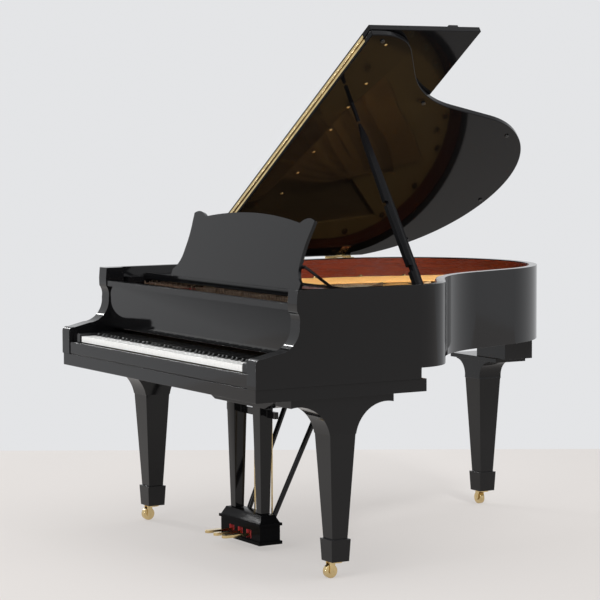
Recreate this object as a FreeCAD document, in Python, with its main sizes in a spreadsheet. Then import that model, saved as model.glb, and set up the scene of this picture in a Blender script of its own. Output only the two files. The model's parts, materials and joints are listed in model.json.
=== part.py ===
import FreeCAD, Part
import math
import os

# A grand piano. Millimetres, +Z up, +X to the treble side, +Y from the keys to the tail.
# Pieces are drawn with y = 0 at the front of the arms; each Placement centres them along y.

doc = FreeCAD.newDocument("grand_piano")
dims = doc.addObject("Spreadsheet::Sheet", "Dims")
SIZES = {
    "case_width": 1475, "case_length": 1728, "rim_wall": 30, "rim_top": 980, "rim_bottom": 698,
    "arm_wall": 60, "arm_bottom": 660, "arm_top": 745, "arm_back": 160, "arm_end": 232, "glue": 0.2,
    "bend_share": 0.375, "bend_radius": 185, "bend_turn": 56.5, "reverse_share": 0.3218,
    "flank_angle": 17.8, "tail_radius": 458, "crown_offset": 213,
    "lining_wall": 4, "lining_top": 976, "ledge_wall": 46, "ledge_top": 880,
    "belly_front": 480, "belly_depth": 42, "beam_wide": 64, "beam_deep": 80, "beam_low": 700,
    "keybed_bottom": 616, "keybed_inset": 5, "keybed_front": 2, "keybed_reach": 24,
    "slip_front": 3, "slip_wall": 14, "slip_top": 707,
    "block_gap": 5.5, "block_wide": 66.5, "block_top": 738.5, "block_back": 165,
    "key_gap": 1, "key_front": 20, "key_head": 50, "key_back": 420,
    "key_bottom": 709, "key_top": 731, "sharp_width": 11, "sharp_top": 743, "sharp_back": 168,
    "balance_line": 230, "bead_radius": 8, "rail_lift": 0.5, "hammer_line": 330, "hammer_level": 811,
    "stretcher_front": 197, "stretcher_wall": 34, "stretcher_low": 800, "stretcher_high": 925,
    "board_wall": 8, "rib_height": 22, "rib_width": 24,
    "plate_wall": 12, "plate_low": 892, "plate_front": 236, "strike_line": 405, "plate_margin": 9,
    "pin_block_back": 400, "pin_block_wall": 29, "pin_radius": 2.7, "pin_height": 26,
    "string_level": 914, "wound_level": 920, "string_radius": 0.6, "wound_radius": 1.8,
    "damper_line": 515, "damper_length": 44, "damper_height": 14,
    "lid_wall": 20, "lid_gap": 5, "lid_front": 132, "lid_over": 18.7, "lid_fold": 46.5, "lid_angle": 34.2,
    "fold_gap": 3.5, "fold_lift": 1.8, "fold_strip": 12, "fold_end": 50, "catch_high": 9,
    "hinge_knuckle": 4, "hinge_run": 0.3, "hinge_leaf": 2, "hinge_pin": 2, "running_fit": 0.05,
    "hinge_length": 120, "hinge_strap": 80, "fold_knuckle": 3, "fold_leaf": 1.6, "bumper_radius": 8,
    "prop_x": 82.5, "prop_y": 49, "prop_z": 953, "prop_wide": 40, "prop_deep": 16,
    "prop_seat_x": 394.5, "prop_seat_y": 89, "prop_block": 78, "prop_gap": 11, "prop_pin": 5,
    "prop_heading": 188, "prop_dip": 0.5, "seat_half": 6,
    "short_length": 260, "short_wide": 12, "short_start": 110, "short_pin": 2.5,
    "fall_y": 181, "fall_z": 760, "fall_wall": 18, "fall_high": 931, "fall_lip": 20, "fall_reach": 12,
    "fall_pin": 5, "fall_side": 1, "fall_bore": 14,
    "tray_front": 312, "tray_back": 560, "tray_low": 944, "tray_wall": 9, "tray_side": 4, "tray_lip": 10,
    "runner_front": 240, "runner_wide": 22, "runner_high": 24,
    "desk_y": 345, "desk_z": 960, "desk_wall": 13, "desk_lift": 6, "desk_tilt": 20,
    "desk_height": 254, "desk_foot": 467, "desk_waist": 422, "desk_horn": 434, "desk_notch": 342,
    "desk_pin": 2.5, "strut_hang": 77, "strut_length": 132, "strut_angle": 35,
    "strut_deep": 8, "strut_x": 436,
    "leg_inset": 67.5, "leg_y": 344, "tail_leg_x": -286, "tail_leg_inset": 98, "foot_low": 57, "foot_high": 133,
    "foot_wide": 76, "foot_base": 68, "ankle_wide": 60, "knee_wide": 103,
    "flare_reach": 150, "flare_rise": 100, "cap_wall": 27,
    "tail_top": 590, "tail_reach": 57, "tail_rise": 72, "tail_brim": 8, "flange_wall": 16,
    "wheel_radius": 24, "wheel_width": 19, "caster_trail": 21, "axle_radius": 4, "stem_radius": 8,
    "stem_height": 36, "fork_wall": 4, "fork_plate": 5,
    "lyre_y": 396, "post_x": 94, "post_high": 55, "post_low": 36, "box_half": 143, "box_deep": 83,
    "box_low": 22, "box_high": 99, "box_roof": 28, "roof_slope": 14, "moulding": 6,
    "head_low": 518, "head_half": 245, "head_slope": 65, "head_rise": 25, "head_deep": 90,
    "cross_low": 477, "cross_high": 25, "cross_half": 176,
    "pedal_pitch": 62, "pedal_tip": 245, "pedal_level": 53, "pedal_wide": 27, "pedal_wall": 10,
    "pedal_slot": 33, "pedal_pin": 4, "rod_y": 452, "rod_radius": 3, "rod_top": 606,
    "brace_radius": 9.5, "brace_low_x": 90, "brace_low_y": 432, "brace_high_x": 120, "brace_high_y": 660,
    "brace_block": 44, "brace_block_wide": 48, "brace_block_deep": 36,
}
for row, (word, number) in enumerate(SIZES.items(), start=1):
    dims.set(f"A{row}", word)
    dims.set(f"B{row}", str(number))
    dims.setAlias(f"B{row}", word)
doc.recompute()


def size(word):
    return float(dims.get(word))


def vec(x, y, z=0.0):
    return FreeCAD.Vector(x, y, z)


HALF = size("case_width") / 2
LENGTH = size("case_length")
WALL = size("rim_wall")
ARM = size("arm_wall")
OVER = size("lid_over")
CASE = FreeCAD.Placement(vec(0, -(LENGTH + OVER) / 2), FreeCAD.Rotation())
NODES = []


def node(piece, label, placement=CASE):
    piece.Label = label
    piece.Placement = placement
    NODES.append(piece)
    return piece


def turn(axis, degrees, pivot):
    return FreeCAD.Placement(vec(0, 0), FreeCAD.Rotation(axis, degrees), pivot)


def box(name, low, high):
    piece = doc.addObject("Part::Box", name)
    for side, axis, start, end in zip(("Length", "Width", "Height"), "xyz", low, high):
        piece.setExpression(side, f"({end}) - ({start})")
        piece.setExpression(f"Placement.Base.{axis}", start)
    return piece


def rod(name, radius, start, end):
    piece = doc.addObject("Part::Cylinder", name)
    piece.setExpression("Radius", radius)
    piece.Height = (end - start).Length
    piece.Placement = FreeCAD.Placement(start, FreeCAD.Rotation(vec(0, 0, 1), end - start))
    return piece


def taper(name, x, y, low, high, low_wide, high_wide):
    piece = doc.addObject("Part::Wedge", name)
    for prop, value in (("Xmin", f"-({low_wide}) / 2"), ("Xmax", f"({low_wide}) / 2"),
                        ("Zmin", f"-({low_wide}) / 2"), ("Zmax", f"({low_wide}) / 2"),
                        ("X2min", f"-({high_wide}) / 2"), ("X2max", f"({high_wide}) / 2"),
                        ("Z2min", f"-({high_wide}) / 2"), ("Z2max", f"({high_wide}) / 2"),
                        ("Ymin", low), ("Ymax", high)):
        piece.setExpression(prop, value)
    piece.Placement = FreeCAD.Placement(vec(x, y), FreeCAD.Rotation(vec(1, 0, 0), 90))
    return piece


def fuse(name, pieces):
    piece = doc.addObject("Part::MultiFuse", name)
    piece.Shapes = pieces
    return piece


def cut(name, base, tool):
    piece = doc.addObject("Part::Cut", name)
    piece.Base = base
    piece.Tool = tool
    return piece


def group(name, pieces):
    piece = doc.addObject("Part::Compound", name)
    piece.Links = pieces
    return piece


def solids(name, shapes):
    piece = doc.addObject("Part::Feature", name)
    piece.Shape = Part.makeCompound(shapes)
    return piece


def lines(points):
    return [Part.LineSegment(a, b) for a, b in zip(points, points[1:])]


def loop(points):
    return lines(points + points[:1])


def sketch_in(body, name, plane, start, curves):
    sketch = body.newObject("Sketcher::SketchObject", name)
    support = next(f for f in body.Origin.OriginFeatures if f.Role == plane)
    sketch.AttachmentSupport = [(support, "")]
    sketch.MapMode = "FlatFace"
    sketch.setExpression("AttachmentOffset.Base.z", start)
    sketch.addGeometry(curves, False)
    return sketch


def pad(body, name, plane, curves, start, length):
    feature = body.newObject("PartDesign::Pad", name)
    feature.Profile = sketch_in(body, name + "_sketch", plane, start, curves)
    feature.setExpression("Length", length)
    body.Tip = feature
    return feature


def pocket(body, name, plane, curves, start, length):
    feature = body.newObject("PartDesign::Pocket", name)
    feature.Profile = sketch_in(body, name + "_sketch", plane, start, curves)
    feature.setExpression("Length", length)
    body.Tip = feature
    return feature


def prism(name, plane, curves, start, length):
    body = doc.addObject("PartDesign::Body", name)
    pad(body, name + "_pad", plane, curves, start, length)
    return body


# Plan outline of the case: straight treble cheek, bend, reverse bend, flank and round tail.
BEND = 90 + size("bend_turn")
FLANK = 90 + size("flank_angle")
BEND_Y = LENGTH * size("bend_share")
TURN_BACK = LENGTH * size("reverse_share")


def heading(degrees):
    return vec(math.cos(math.radians(degrees)), math.sin(math.radians(degrees)))


def outward(degrees):
    return heading(degrees - 90)


def outline_arcs():
    # Each arc: centre, radius, first heading, last heading, side (+1 left turn, -1 right turn).
    bend_centre = vec(HALF - size("bend_radius"), BEND_Y)
    bend_end = bend_centre + outward(BEND) * size("bend_radius")
    crown = vec(-size("crown_offset"), LENGTH)
    tail_centre = crown - vec(0, size("tail_radius"))
    flank_end = tail_centre + outward(FLANK) * size("tail_radius")
    sweep = (outward(BEND) - outward(FLANK)) * TURN_BACK
    rest = flank_end - bend_end - sweep
    first, last = heading(BEND), heading(FLANK)
    run = (rest.x * last.y - rest.y * last.x) / (first.x * last.y - first.y * last.x)
    reverse_centre = bend_end + first * run + outward(BEND) * TURN_BACK
    bass_radius = HALF - size("crown_offset")
    bass_centre = crown - vec(0, bass_radius)
    return [(bend_centre, size("bend_radius"), 90, BEND, 1),
            (reverse_centre, TURN_BACK, BEND, FLANK, -1),
            (tail_centre, size("tail_radius"), FLANK, 180, 1),
            (bass_centre, bass_radius, 180, 270, 1)]


ARCS = outline_arcs()


def arc_point(arc, angle, inset):
    centre, radius, _, _, side = arc
    return centre + outward(angle) * (side * radius - inset)


def outline_curves(inset, treble_y, bass_y, spine):
    curves = []
    here = vec(HALF - inset, treble_y)
    for arc in ARCS:
        first, last = arc[2], arc[3]
        if arc is ARCS[-1]:
            across_tail = max(-1.0, (spine - arc[0].x) / (arc[1] - inset))
            last = 90 + math.degrees(math.acos(across_tail))
        ends = [arc_point(arc, angle, inset) for angle in (first, (first + last) / 2, last)]
        if (ends[0] - here).Length > 0.001:
            curves.append(Part.LineSegment(here, ends[0]))
        curves.append(Part.Arc(*ends))
        here = ends[2]
    curves.append(Part.LineSegment(here, vec(spine, bass_y)))
    return curves


def area_curves(inset, front_y, spine):
    return outline_curves(inset, front_y, front_y, spine) + [
        Part.LineSegment(vec(spine, front_y), vec(HALF - inset, front_y))]


def band_curves(outer, inner, front_y):
    return (outline_curves(outer, front_y, front_y, outer - HALF)
            + outline_curves(inner, front_y, front_y, inner - HALF)
            + [Part.LineSegment(vec(side * (HALF - outer), front_y), vec(side * (HALF - inner), front_y))
               for side in (-1, 1)])


def area_prism(inset, front_y, low, high):
    wire = Part.Wire(Part.__sortEdges__([c.toShape() for c in area_curves(inset, front_y, inset - HALF)]))
    face = Part.Face(wire)
    face.translate(vec(0, 0, low))
    return face.extrude(vec(0, 0, high - low))


def slab(points, low, high):
    corners = [vec(p.x, p.y, low) for p in points]
    return Part.Face(Part.makePolygon(corners + corners[:1])).extrude(vec(0, 0, high - low))


# Outer rim with the two arms
rim = doc.addObject("PartDesign::Body", "rim")
pad(rim, "rim_band", "XY_Plane", band_curves(0, WALL, 0), "Dims.rim_bottom", "Dims.rim_top - Dims.rim_bottom")

def side_bars(wall, end):
    return [line for side in (-1, 1) for line in loop([
        vec(side * HALF, 0), vec(side * (HALF - wall), 0), vec(side * (HALF - wall), end), vec(side * HALF, end)])]


pad(rim, "rim_cheeks", "XY_Plane", side_bars(WALL, BEND_Y), "Dims.arm_bottom", "Dims.rim_bottom - Dims.arm_bottom")
pad(rim, "rim_arms", "XY_Plane", side_bars(ARM, size("arm_end")), "Dims.arm_bottom", "Dims.rim_top - Dims.arm_bottom")
top, back, nose = size("rim_top"), size("arm_back"), size("arm_top")
scroll = [Part.LineSegment(vec(-9, nose), vec(0, nose)),
          Part.Arc(vec(0, nose), vec(7, nose + 12), vec(22, nose + 15)),
          Part.LineSegment(vec(22, nose + 15), vec(86, nose + 30)),
          Part.Arc(vec(86, nose + 30), vec(145, nose + 57), vec(back + 7, nose + 121)),
          Part.Arc(vec(back + 7, nose + 121), vec(back + 7, nose + 145), vec(back - 3, nose + 166)),
          Part.LineSegment(vec(back - 3, nose + 166), vec(back - 4, nose + 193)),
          Part.LineSegment(vec(back - 4, nose + 193), vec(back, top + 9))]
scroll += lines([vec(back, top + 9), vec(-9, top + 9), vec(-9, nose)])
pocket(rim, "rim_scroll", "YZ_Plane", scroll, "Dims.case_width", "2 * Dims.case_width")
fall_pin_start = HALF - ARM - size("fall_side")
bores = [rod(f"fall_bore_{side}", "Dims.fall_pin + Dims.running_fit",
             vec(side * (HALF - ARM - 1), size("fall_y"), size("fall_z")),
             vec(side * (HALF - ARM + size("fall_bore")), size("fall_y"), size("fall_z")))
         for side in (-1, 1)]
node(cut("rim_bored", rim, fuse("fall_bores", bores)), "outer_rim")

# Inner rim: a ledge for the soundboard and a thin lining above it
inner = doc.addObject("PartDesign::Body", "inner")
ledge_face = WALL + size("glue")
pad(inner, "ledge", "XY_Plane", band_curves(ledge_face, WALL + size("ledge_wall"), size("belly_front")),
    "Dims.rim_bottom", "Dims.ledge_top - Dims.rim_bottom")
pad(inner, "lining", "XY_Plane", band_curves(ledge_face, WALL + size("lining_wall"), size("belly_front")),
    "Dims.ledge_top", "Dims.lining_top - Dims.ledge_top")
node(inner, "inner_rim")

# Keybed, key slip, key blocks and stretcher
INSIDE = "Dims.case_width / 2 - Dims.arm_wall - Dims.glue"
KEYS_HALF = "Dims.case_width / 2 - Dims.arm_wall - Dims.block_wide"
bed_half = "Dims.case_width / 2 - Dims.keybed_inset"
bed = box("bed", (f"-({bed_half})", "Dims.keybed_front", "Dims.keybed_bottom"),
          (bed_half, "Dims.case_length * Dims.bend_share + Dims.keybed_reach", "Dims.arm_bottom - Dims.glue"))
node(group("bed_group", [bed]), "keybed")
slip = box("slip", (f"-({INSIDE})", "Dims.slip_front", "Dims.arm_bottom"),
           (INSIDE, "Dims.slip_front + Dims.slip_wall", "Dims.slip_top"))
node(group("slip_group", [slip]), "key_slip")
block_near = f"{KEYS_HALF} + Dims.block_gap"
block_front = "Dims.slip_front + Dims.slip_wall + Dims.glue"
blocks = [box("bass_block", (f"-({INSIDE})", block_front, "Dims.arm_bottom"),
              (f"-({block_near})", "Dims.block_back", "Dims.block_top")),
          box("treble_block", (block_near, block_front, "Dims.arm_bottom"),
              (INSIDE, "Dims.block_back", "Dims.block_top"))]
node(group("block_group", blocks), "key_blocks")
rail = box("rail", (f"-({INSIDE})", "Dims.stretcher_front", "Dims.stretcher_low"),
           (INSIDE, "Dims.stretcher_front + Dims.stretcher_wall", "Dims.stretcher_high"))
runner_low = "Dims.tray_low - 0.3 - Dims.runner_high"
runner_out = "Dims.case_width / 2 - Dims.rim_wall - Dims.glue"
runners = [box("bass_runner", (f"-({runner_out})", "Dims.runner_front", runner_low),
               (f"-({INSIDE}) + Dims.runner_wide", "Dims.belly_front - 2", "Dims.tray_low - 0.3")),
           box("treble_runner", (f"{INSIDE} - Dims.runner_wide", "Dims.runner_front", runner_low),
               (runner_out, "Dims.belly_front - 2", "Dims.tray_low - 0.3"))]
node(group("rail_group", [rail] + runners), "stretcher")

# Belly rail and beams
board_low, board_high = size("ledge_top") + size("glue"), size("ledge_top") + size("glue") + size("board_wall")
belly_back = size("belly_front") + size("belly_depth")
ledge_inside = WALL + size("ledge_wall") + size("glue")
reach = area_prism(ledge_inside, belly_back + size("glue"), 0, size("rim_top"))
belly_x = HALF - ledge_inside
belly = slab([vec(-belly_x, size("belly_front")), vec(belly_x, size("belly_front")), vec(belly_x, belly_back),
              vec(-belly_x, belly_back)], size("arm_bottom") + size("glue"), size("ledge_top"))
beams = [belly]
for x in (-430, -160, 110):
    start = vec(x - size("beam_wide") / 2, size("belly_front"), size("beam_low"))
    beam = Part.makeBox(size("beam_wide"), LENGTH, size("beam_deep"), start)
    beams.append(beam.common(reach))
node(solids("beams", beams), "case_beams")

# Soundboard with ribs, and the two bridges
board = area_prism(WALL + size("lining_wall") + size("glue"), size("belly_front"), board_low, board_high)
ribs = []
for step in range(9):
    y = size("belly_front") + 90 + 120 * step
    rib = Part.makeBox(2 * HALF, size("rib_width"), size("rib_height"),
                       vec(-HALF, y, size("ledge_top") - size("rib_height")))
    ribs.append(rib.common(reach))
node(solids("board", [board] + ribs), "soundboard")


# String scale: plain strings from note 27 up, wound strings below, crossing above them.
# The plain strings stand in five sections, with room for a bar of the plate at each break.
STRIKE = size("strike_line")
BREAKS = (81, 68, 54, 40)


def plain_ends(note):
    share = (88 - note) / 61
    reach = 150 + (LENGTH - STRIKE - 623) * share ** 1.35
    passed = len([first for first in BREAKS if note < first])
    front = HALF - 147.5 - (HALF - 14.5) * share - 20 * passed
    return vec(front, STRIKE), vec(front - 140 * share, STRIKE + reach)


def wound_ends(note):
    share = (note - 1) / 25
    return vec(132.5 - HALF + 329 * share, STRIKE), vec(392.5 - HALF + 250 * share, LENGTH - 143 - 170 * share)


def along(ends, y):
    share = (y - ends[0].y) / (ends[1].y - ends[0].y)
    return ends[0] + (ends[1] - ends[0]) * share


def between(ends, share):
    return ends[0] + (ends[1] - ends[0]) * share


def ribbon(points, width, low, high):
    normals = []
    for index in range(len(points)):
        step = points[min(index + 1, len(points) - 1)] - points[max(index - 1, 0)]
        normals.append(vec(-step.y, step.x).normalize() * (width / 2))
    edge = [p + n for p, n in zip(points, normals)]
    edge += [p - n for p, n in reversed(list(zip(points, normals)))]
    return slab(edge, low, high)


bridge_low = board_high + size("glue")
long_line = [between(plain_ends(note), 0.82) for note in range(27, 89, 4)]
bass_line = [between(wound_ends(note), 0.84) for note in range(1, 27, 5)]
long_bridge = ribbon(long_line, 24, bridge_low, size("string_level") - 1)
bass_bridge = ribbon(bass_line, 26, bridge_low, size("wound_level") - 2.2)
node(solids("bridge_pair", [long_bridge, bass_bridge]), "bridges")

# Cast plate with windows between its bars
plate_low = size("plate_low")
plate_high = plate_low + size("plate_wall")
plate = area_prism(WALL + size("plate_margin"), size("plate_front"), plate_low, plate_high)
edge = [between(plain_ends(note), 0.93) for note in range(88, 26, -4)]
spine_x = HALF - 107.5
window = slab([vec(HALF - 127.5, STRIKE)] + edge
              + [vec(30 - spine_x, LENGTH - 298), vec(-spine_x, LENGTH - 578), vec(-spine_x, STRIKE)],
              plate_low - 1, plate_high + 1)
bass_room = [bass_line[0] - vec(25, 0)] + bass_line + [bass_line[-1] + vec(25, 0)]
bass_window = slab([p + vec(0, 75) for p in bass_room] + [p - vec(0, 75) for p in reversed(bass_room)],
                   plate_low - 1, plate_high + 1)
bars = []
for first in BREAKS:
    middle = [(a + b) * 0.5 for a, b in zip(plain_ends(first), plain_ends(first - 1))]
    bars.append(ribbon([between(middle, share) for share in (-0.05, 1.05)], 9, plate_low - 2, plate_high + 2))
last_plain = plain_ends(27)[0].x
bars.append(ribbon([vec(last_plain - 30, STRIKE - 20), vec(last_plain - 33, STRIKE + 65),
                    vec(last_plain - 227, LENGTH - 408)], 14, plate_low - 2, plate_high + 2))
window = window.cut(Part.makeCompound(bars))
holes = [Part.makeCylinder(16, 40, vec(x, LENGTH - y, plate_low - 9))
         for x, y in ((-20, 388), (40, 488), (100, 598), (170, 708), (250, 828), (-120, 178), (-230, 88))]
iron = plate.cut(Part.makeCompound([window, bass_window] + holes))
long_room = ribbon(long_line, 26, plate_low - 1, plate_high + 1)
iron = iron.cut(long_room)
largest = max(iron.Solids, key=lambda s: s.Volume)
node(solids("iron", [largest]), "iron_plate")

pin_half = f"{KEYS_HALF} + 20"
pin_plank = box("pin_plank",
                (f"-({pin_half})", "Dims.plate_front", "Dims.plate_low - Dims.glue - Dims.pin_block_wall"),
                (pin_half, "Dims.pin_block_back", "Dims.plate_low - Dims.glue"))
node(group("pin_plank_group", [pin_plank]), "pin_block")

# Strings, each starting just behind its tuning pin
pins, plain, wound = [], [], []
pin_r, pin_rows = size("pin_radius"), (285, 325, 365)
for note in range(27, 89):
    for string, row in enumerate(pin_rows):
        ends = [end + vec(4 * (string - 1), 0) for end in plain_ends(note)]
        start = along(ends, row + pin_r + 0.3)
        pins.append(Part.makeCylinder(pin_r, size("pin_height"), vec(along(ends, row).x, row, plate_high + 0.1)))
        level = vec(0, 0, size("string_level"))
        string_run = ends[1] - start
        plain.append(Part.makeCylinder(size("string_radius"), string_run.Length, start + level, string_run))
for note in range(1, 27):
    ends = wound_ends(note)
    row = pin_rows[note % 3]
    start = along(ends, row + pin_r + 0.3)
    pins.append(Part.makeCylinder(pin_r, size("pin_height"), vec(along(ends, row).x, row, plate_high + 0.1)))
    level = vec(0, 0, size("wound_level"))
    wound.append(Part.makeCylinder(size("wound_radius"), (ends[1] - start).Length, start + level, ends[1] - start))
node(solids("pins", pins), "tuning_pins")
node(solids("plain", plain), "plain_strings")
node(solids("wound", wound), "wound_strings")

# Lid, drawn shut over the rim and set open about the bass-side hinge
lid_low = size("rim_top") + size("lid_gap")
lid_high = lid_low + size("lid_wall")
hinge_x = -HALF - size("hinge_knuckle") - size("hinge_run")
hinge_z = size("rim_top") + size("hinge_knuckle") + 0.1
OPEN = CASE.multiply(turn(vec(0, -1, 0), size("lid_angle"), vec(hinge_x, 0, hinge_z)))
# The flap folds ahead of the start of the bend.
fold_y, fold_z = BEND_Y - size("lid_fold"), lid_high + size("fold_lift")
FOLDED = OPEN.multiply(turn(vec(1, 0, 0), 180, vec(0, fold_y, fold_z)))

# The prop and its seat are placed in from the treble side and back from the start of the bend.
seat = vec(HALF - size("prop_seat_x"), BEND_Y + size("prop_seat_y"), lid_low)
lid = prism("lid", "XY_Plane", area_curves(-OVER, fold_y + size("fold_gap"), -HALF), "Dims.rim_top + Dims.lid_gap",
            "Dims.lid_wall")
seat_half = size("seat_half")
seat_block = [seat + vec(x * seat_half, y * seat_half) for x, y in ((-1, -1), (1, -1), (1, 1), (-1, 1))]
pad(lid, "lid_block", "XY_Plane", loop([vec(p.x, p.y) for p in seat_block]),
    "Dims.rim_top + Dims.lid_gap - Dims.prop_block", "Dims.prop_block")
flap_low, flap_high = size("lid_front"), fold_y - size("fold_gap")
lid_right = HALF + OVER
flap_outline = loop([vec(-HALF, flap_low), vec(lid_right, flap_low), vec(lid_right, flap_high),
                     vec(-HALF, flap_high)])
flap = prism("flap", "XY_Plane", flap_outline, "Dims.rim_top + Dims.lid_gap", "Dims.lid_wall")
catch = loop([vec(HALF + 2, flap_low + 88), vec(lid_right - 3, flap_low + 88), vec(lid_right - 3, flap_low + 128),
              vec(HALF + 2, flap_low + 128)])
pad(flap, "flap_catch", "XY_Plane", catch, "Dims.rim_top + Dims.lid_gap - Dims.catch_high", "Dims.catch_high")

# Brass hinges of the lid: two places on the spine, pin and outer knuckles on the rim
leaf, knuckle, pin = size("hinge_leaf"), size("hinge_knuckle"), size("hinge_pin")
span, fit = size("hinge_length"), size("running_fit")
rim_brass, lid_brass = [], []
along_y = vec(0, 1, 0)
leaf_x = hinge_x + 1


def leaf_bar(y, length, z, leaf_reach):
    return Part.makeBox(leaf_reach, length, leaf, vec(leaf_x, y, z))


for share in (0.42, 0.714):
    first = LENGTH * share - span / 2
    thirds = [first + span * k / 3 for k in range(3)]
    length = span / 3 - 0.4
    rim_leaf = Part.makeCylinder(pin, span, vec(hinge_x, first, hinge_z), along_y)
    for y in (thirds[0], thirds[2]):
        tube = Part.makeCylinder(knuckle, length, vec(hinge_x, y, hinge_z), along_y)
        rim_leaf = rim_leaf.fuse([tube, leaf_bar(y, length, size("rim_top") + 0.1, WALL - 3)])
    rim_brass.append(rim_leaf.removeSplitter())
    barrel = Part.makeCylinder(knuckle, length, vec(hinge_x, thirds[1], hinge_z), along_y)
    barrel = barrel.fuse(leaf_bar(thirds[1], length, lid_low - 0.1 - leaf, size("hinge_strap")))
    lid_brass.append(barrel.cut(Part.makeCylinder(pin + fit, span, vec(hinge_x, first, hinge_z), along_y)))

# Prop: a stick on a slanting pin at the treble rim, its tip just under the block below the lid
foot = vec(HALF - size("prop_x"), BEND_Y + size("prop_y"), size("prop_z"))
OPEN_HERE = turn(vec(0, -1, 0), size("lid_angle"), vec(hinge_x, 0, hinge_z))
lid_normal = OPEN_HERE.Rotation.multVec(vec(0, 0, 1))
tip = OPEN_HERE.multVec(seat) - lid_normal * (size("prop_block") + size("prop_gap"))
stick = tip - foot
reach = stick.Length
up = vec(stick.x, stick.y, stick.z).normalize()
dip = math.radians(size("prop_dip"))
folded = heading(size("prop_heading")) * math.cos(dip) - vec(0, 0, math.sin(dip))
swing = (up + folded).normalize()
across = up.cross(folded).normalize()
depth = across.cross(up).normalize()
STICK = FreeCAD.Placement(foot, FreeCAD.Rotation(up, across, depth, "XYZ"))
STICK_IN_CASE = CASE.multiply(STICK)
wide, deep = size("prop_wide"), size("prop_deep")
pin_axis = STICK.Rotation.inverted().multVec(swing)
short_x = size("short_start")
short_end = short_x + size("short_length")


def stick_section(x, section_wide, section_deep):
    half_w, half_d = section_wide / 2, section_deep / 2
    corners = [vec(x, -half_w, -half_d), vec(x, half_w, -half_d), vec(x, half_w, half_d), vec(x, -half_w, half_d)]
    return Part.makePolygon(corners + corners[:1])


point = reach - 60
board = Part.makeLoft([stick_section(0, wide, deep), stick_section(short_end, wide, deep)], True, True)
slope = Part.makeLoft([stick_section(short_end, wide, deep), stick_section(point, 0.55 * wide, deep)], True, True)
end = Part.makeLoft([stick_section(point, 0.55 * wide, deep), stick_section(reach, 8, 6)], True, True)
eye = Part.makeCylinder(13, 24, pin_axis * -12, pin_axis)
bore = Part.makeCylinder(size("prop_pin") + fit, 60, pin_axis * -30, pin_axis)
short_y = wide / 2 - size("short_wide") / 2
notch_deep = size("short_wide") + 0.6
notch = Part.makeBox(size("short_length") + 40, notch_deep + 1, deep + 2,
                     vec(short_x - 34, wide / 2 - notch_deep, -deep / 2 - 1))
lug = Part.makeBox(24, wide / 2, 3, vec(short_x - 12, 0, deep / 2))
lug_pin = Part.makeCylinder(size("short_pin"), deep, vec(short_x, short_y, -deep / 2), vec(0, 0, 1))
prop_solid = board.fuse([slope, end, eye]).cut(notch).fuse([lug, lug_pin]).cut(bore).removeSplitter()
node(solids("prop", prop_solid.Solids), "lid_prop", STICK_IN_CASE)
short_stick = Part.makeBox(size("short_length"), size("short_wide"), deep - 0.6,
                           vec(short_x - 10, short_y - size("short_wide") / 2, -deep / 2))
short_bore = Part.makeCylinder(size("short_pin") + fit, 40, vec(short_x, short_y, -20), vec(0, 0, 1))
node(solids("short", short_stick.cut(short_bore).Solids), "short_prop", STICK_IN_CASE)

# Bracket of the prop, in brass, on the lining of the rim
bracket_pin = Part.makeCylinder(size("prop_pin"), 48, foot - swing * 36, swing)
lined = area_prism(WALL + size("lining_wall") + size("glue"), size("belly_front"), foot.z - 60, foot.z + 60)
bracket = Part.makeBox(60, 44, 44, vec(foot.x + 25, foot.y - 22, foot.z - 34)).common(lined)
rim_brass.append(bracket.fuse(bracket_pin).removeSplitter())
node(solids("rim_brass_set", rim_brass), "rim_fittings")
node(lid, "lid_panel", OPEN)
node(solids("lid_brass_set", lid_brass), "lid_fittings", OPEN)

# Fold hinge of the lid: two long strips on the facing edges, knuckled in turn about one pin
fold_r, fold_leaf, strip = size("fold_knuckle"), size("fold_leaf"), size("fold_strip")
along_x = vec(1, 0, 0)
fold_start = -HALF + size("fold_end")
fold_span = lid_right - size("fold_end") - fold_start
strip_top = fold_z - fold_r - 0.2
strip_low = lid_high - strip
strip_y = size("fold_gap") - fit - fold_leaf


def fold_side(side, first_knuckle):
    low_y = fold_y + strip_y if side > 0 else fold_y - strip_y - fold_leaf
    parts = [Part.makeBox(fold_span, fold_leaf, strip_top - strip_low, vec(fold_start, low_y, strip_low))]
    tab_y = fold_y + 1 if side > 0 else fold_y - strip_y - fold_leaf
    tab_wide = strip_y + fold_leaf - 1
    step = fold_span / 24
    for index in range(first_knuckle, 24, 2):
        start = fold_start + index * step + 0.3
        parts.append(Part.makeCylinder(fold_r, step - 0.6, vec(start, fold_y, fold_z), along_x))
        parts.append(Part.makeBox(step - 0.6, tab_wide, fold_z - strip_top + 1, vec(start, tab_y, strip_top - 1)))
    return parts


lid_strip = fold_side(1, 0)
lid_strip.append(Part.makeCylinder(1.5, fold_span, vec(fold_start, fold_y, fold_z), along_x))
lid_leaves = [lid_strip[0].fuse(lid_strip[1:]).removeSplitter()]
flap_strip = fold_side(-1, 1)
pin_room = Part.makeCylinder(1.5 + fit, fold_span + 2, vec(fold_start - 1, fold_y, fold_z), along_x)
flap_leaves = [flap_strip[0].fuse(flap_strip[1:]).cut(pin_room).removeSplitter()]
node(solids("lid_leaf_set", lid_leaves), "flap_hinge_leaf_lid", OPEN)
node(flap, "lid_flap", FOLDED)
node(solids("flap_leaf_set", flap_leaves), "flap_hinge_leaf_flap", FOLDED)

# Rubber buttons under the lid, over the rim top
buttons = []
for arc, share in ((0, 0.1), (1, 0.6), (2, 0.3), (3, 0.15), (3, 0.6)):
    first, last = ARCS[arc][2], ARCS[arc][3]
    spot = arc_point(ARCS[arc], first + (last - first) * share, WALL / 2)
    buttons.append(Part.makeCylinder(size("bumper_radius"), size("lid_gap") - 0.6,
                                     vec(spot.x, spot.y, size("rim_top") + 0.4)))
node(solids("button_set", buttons), "lid_bumpers", OPEN)

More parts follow.
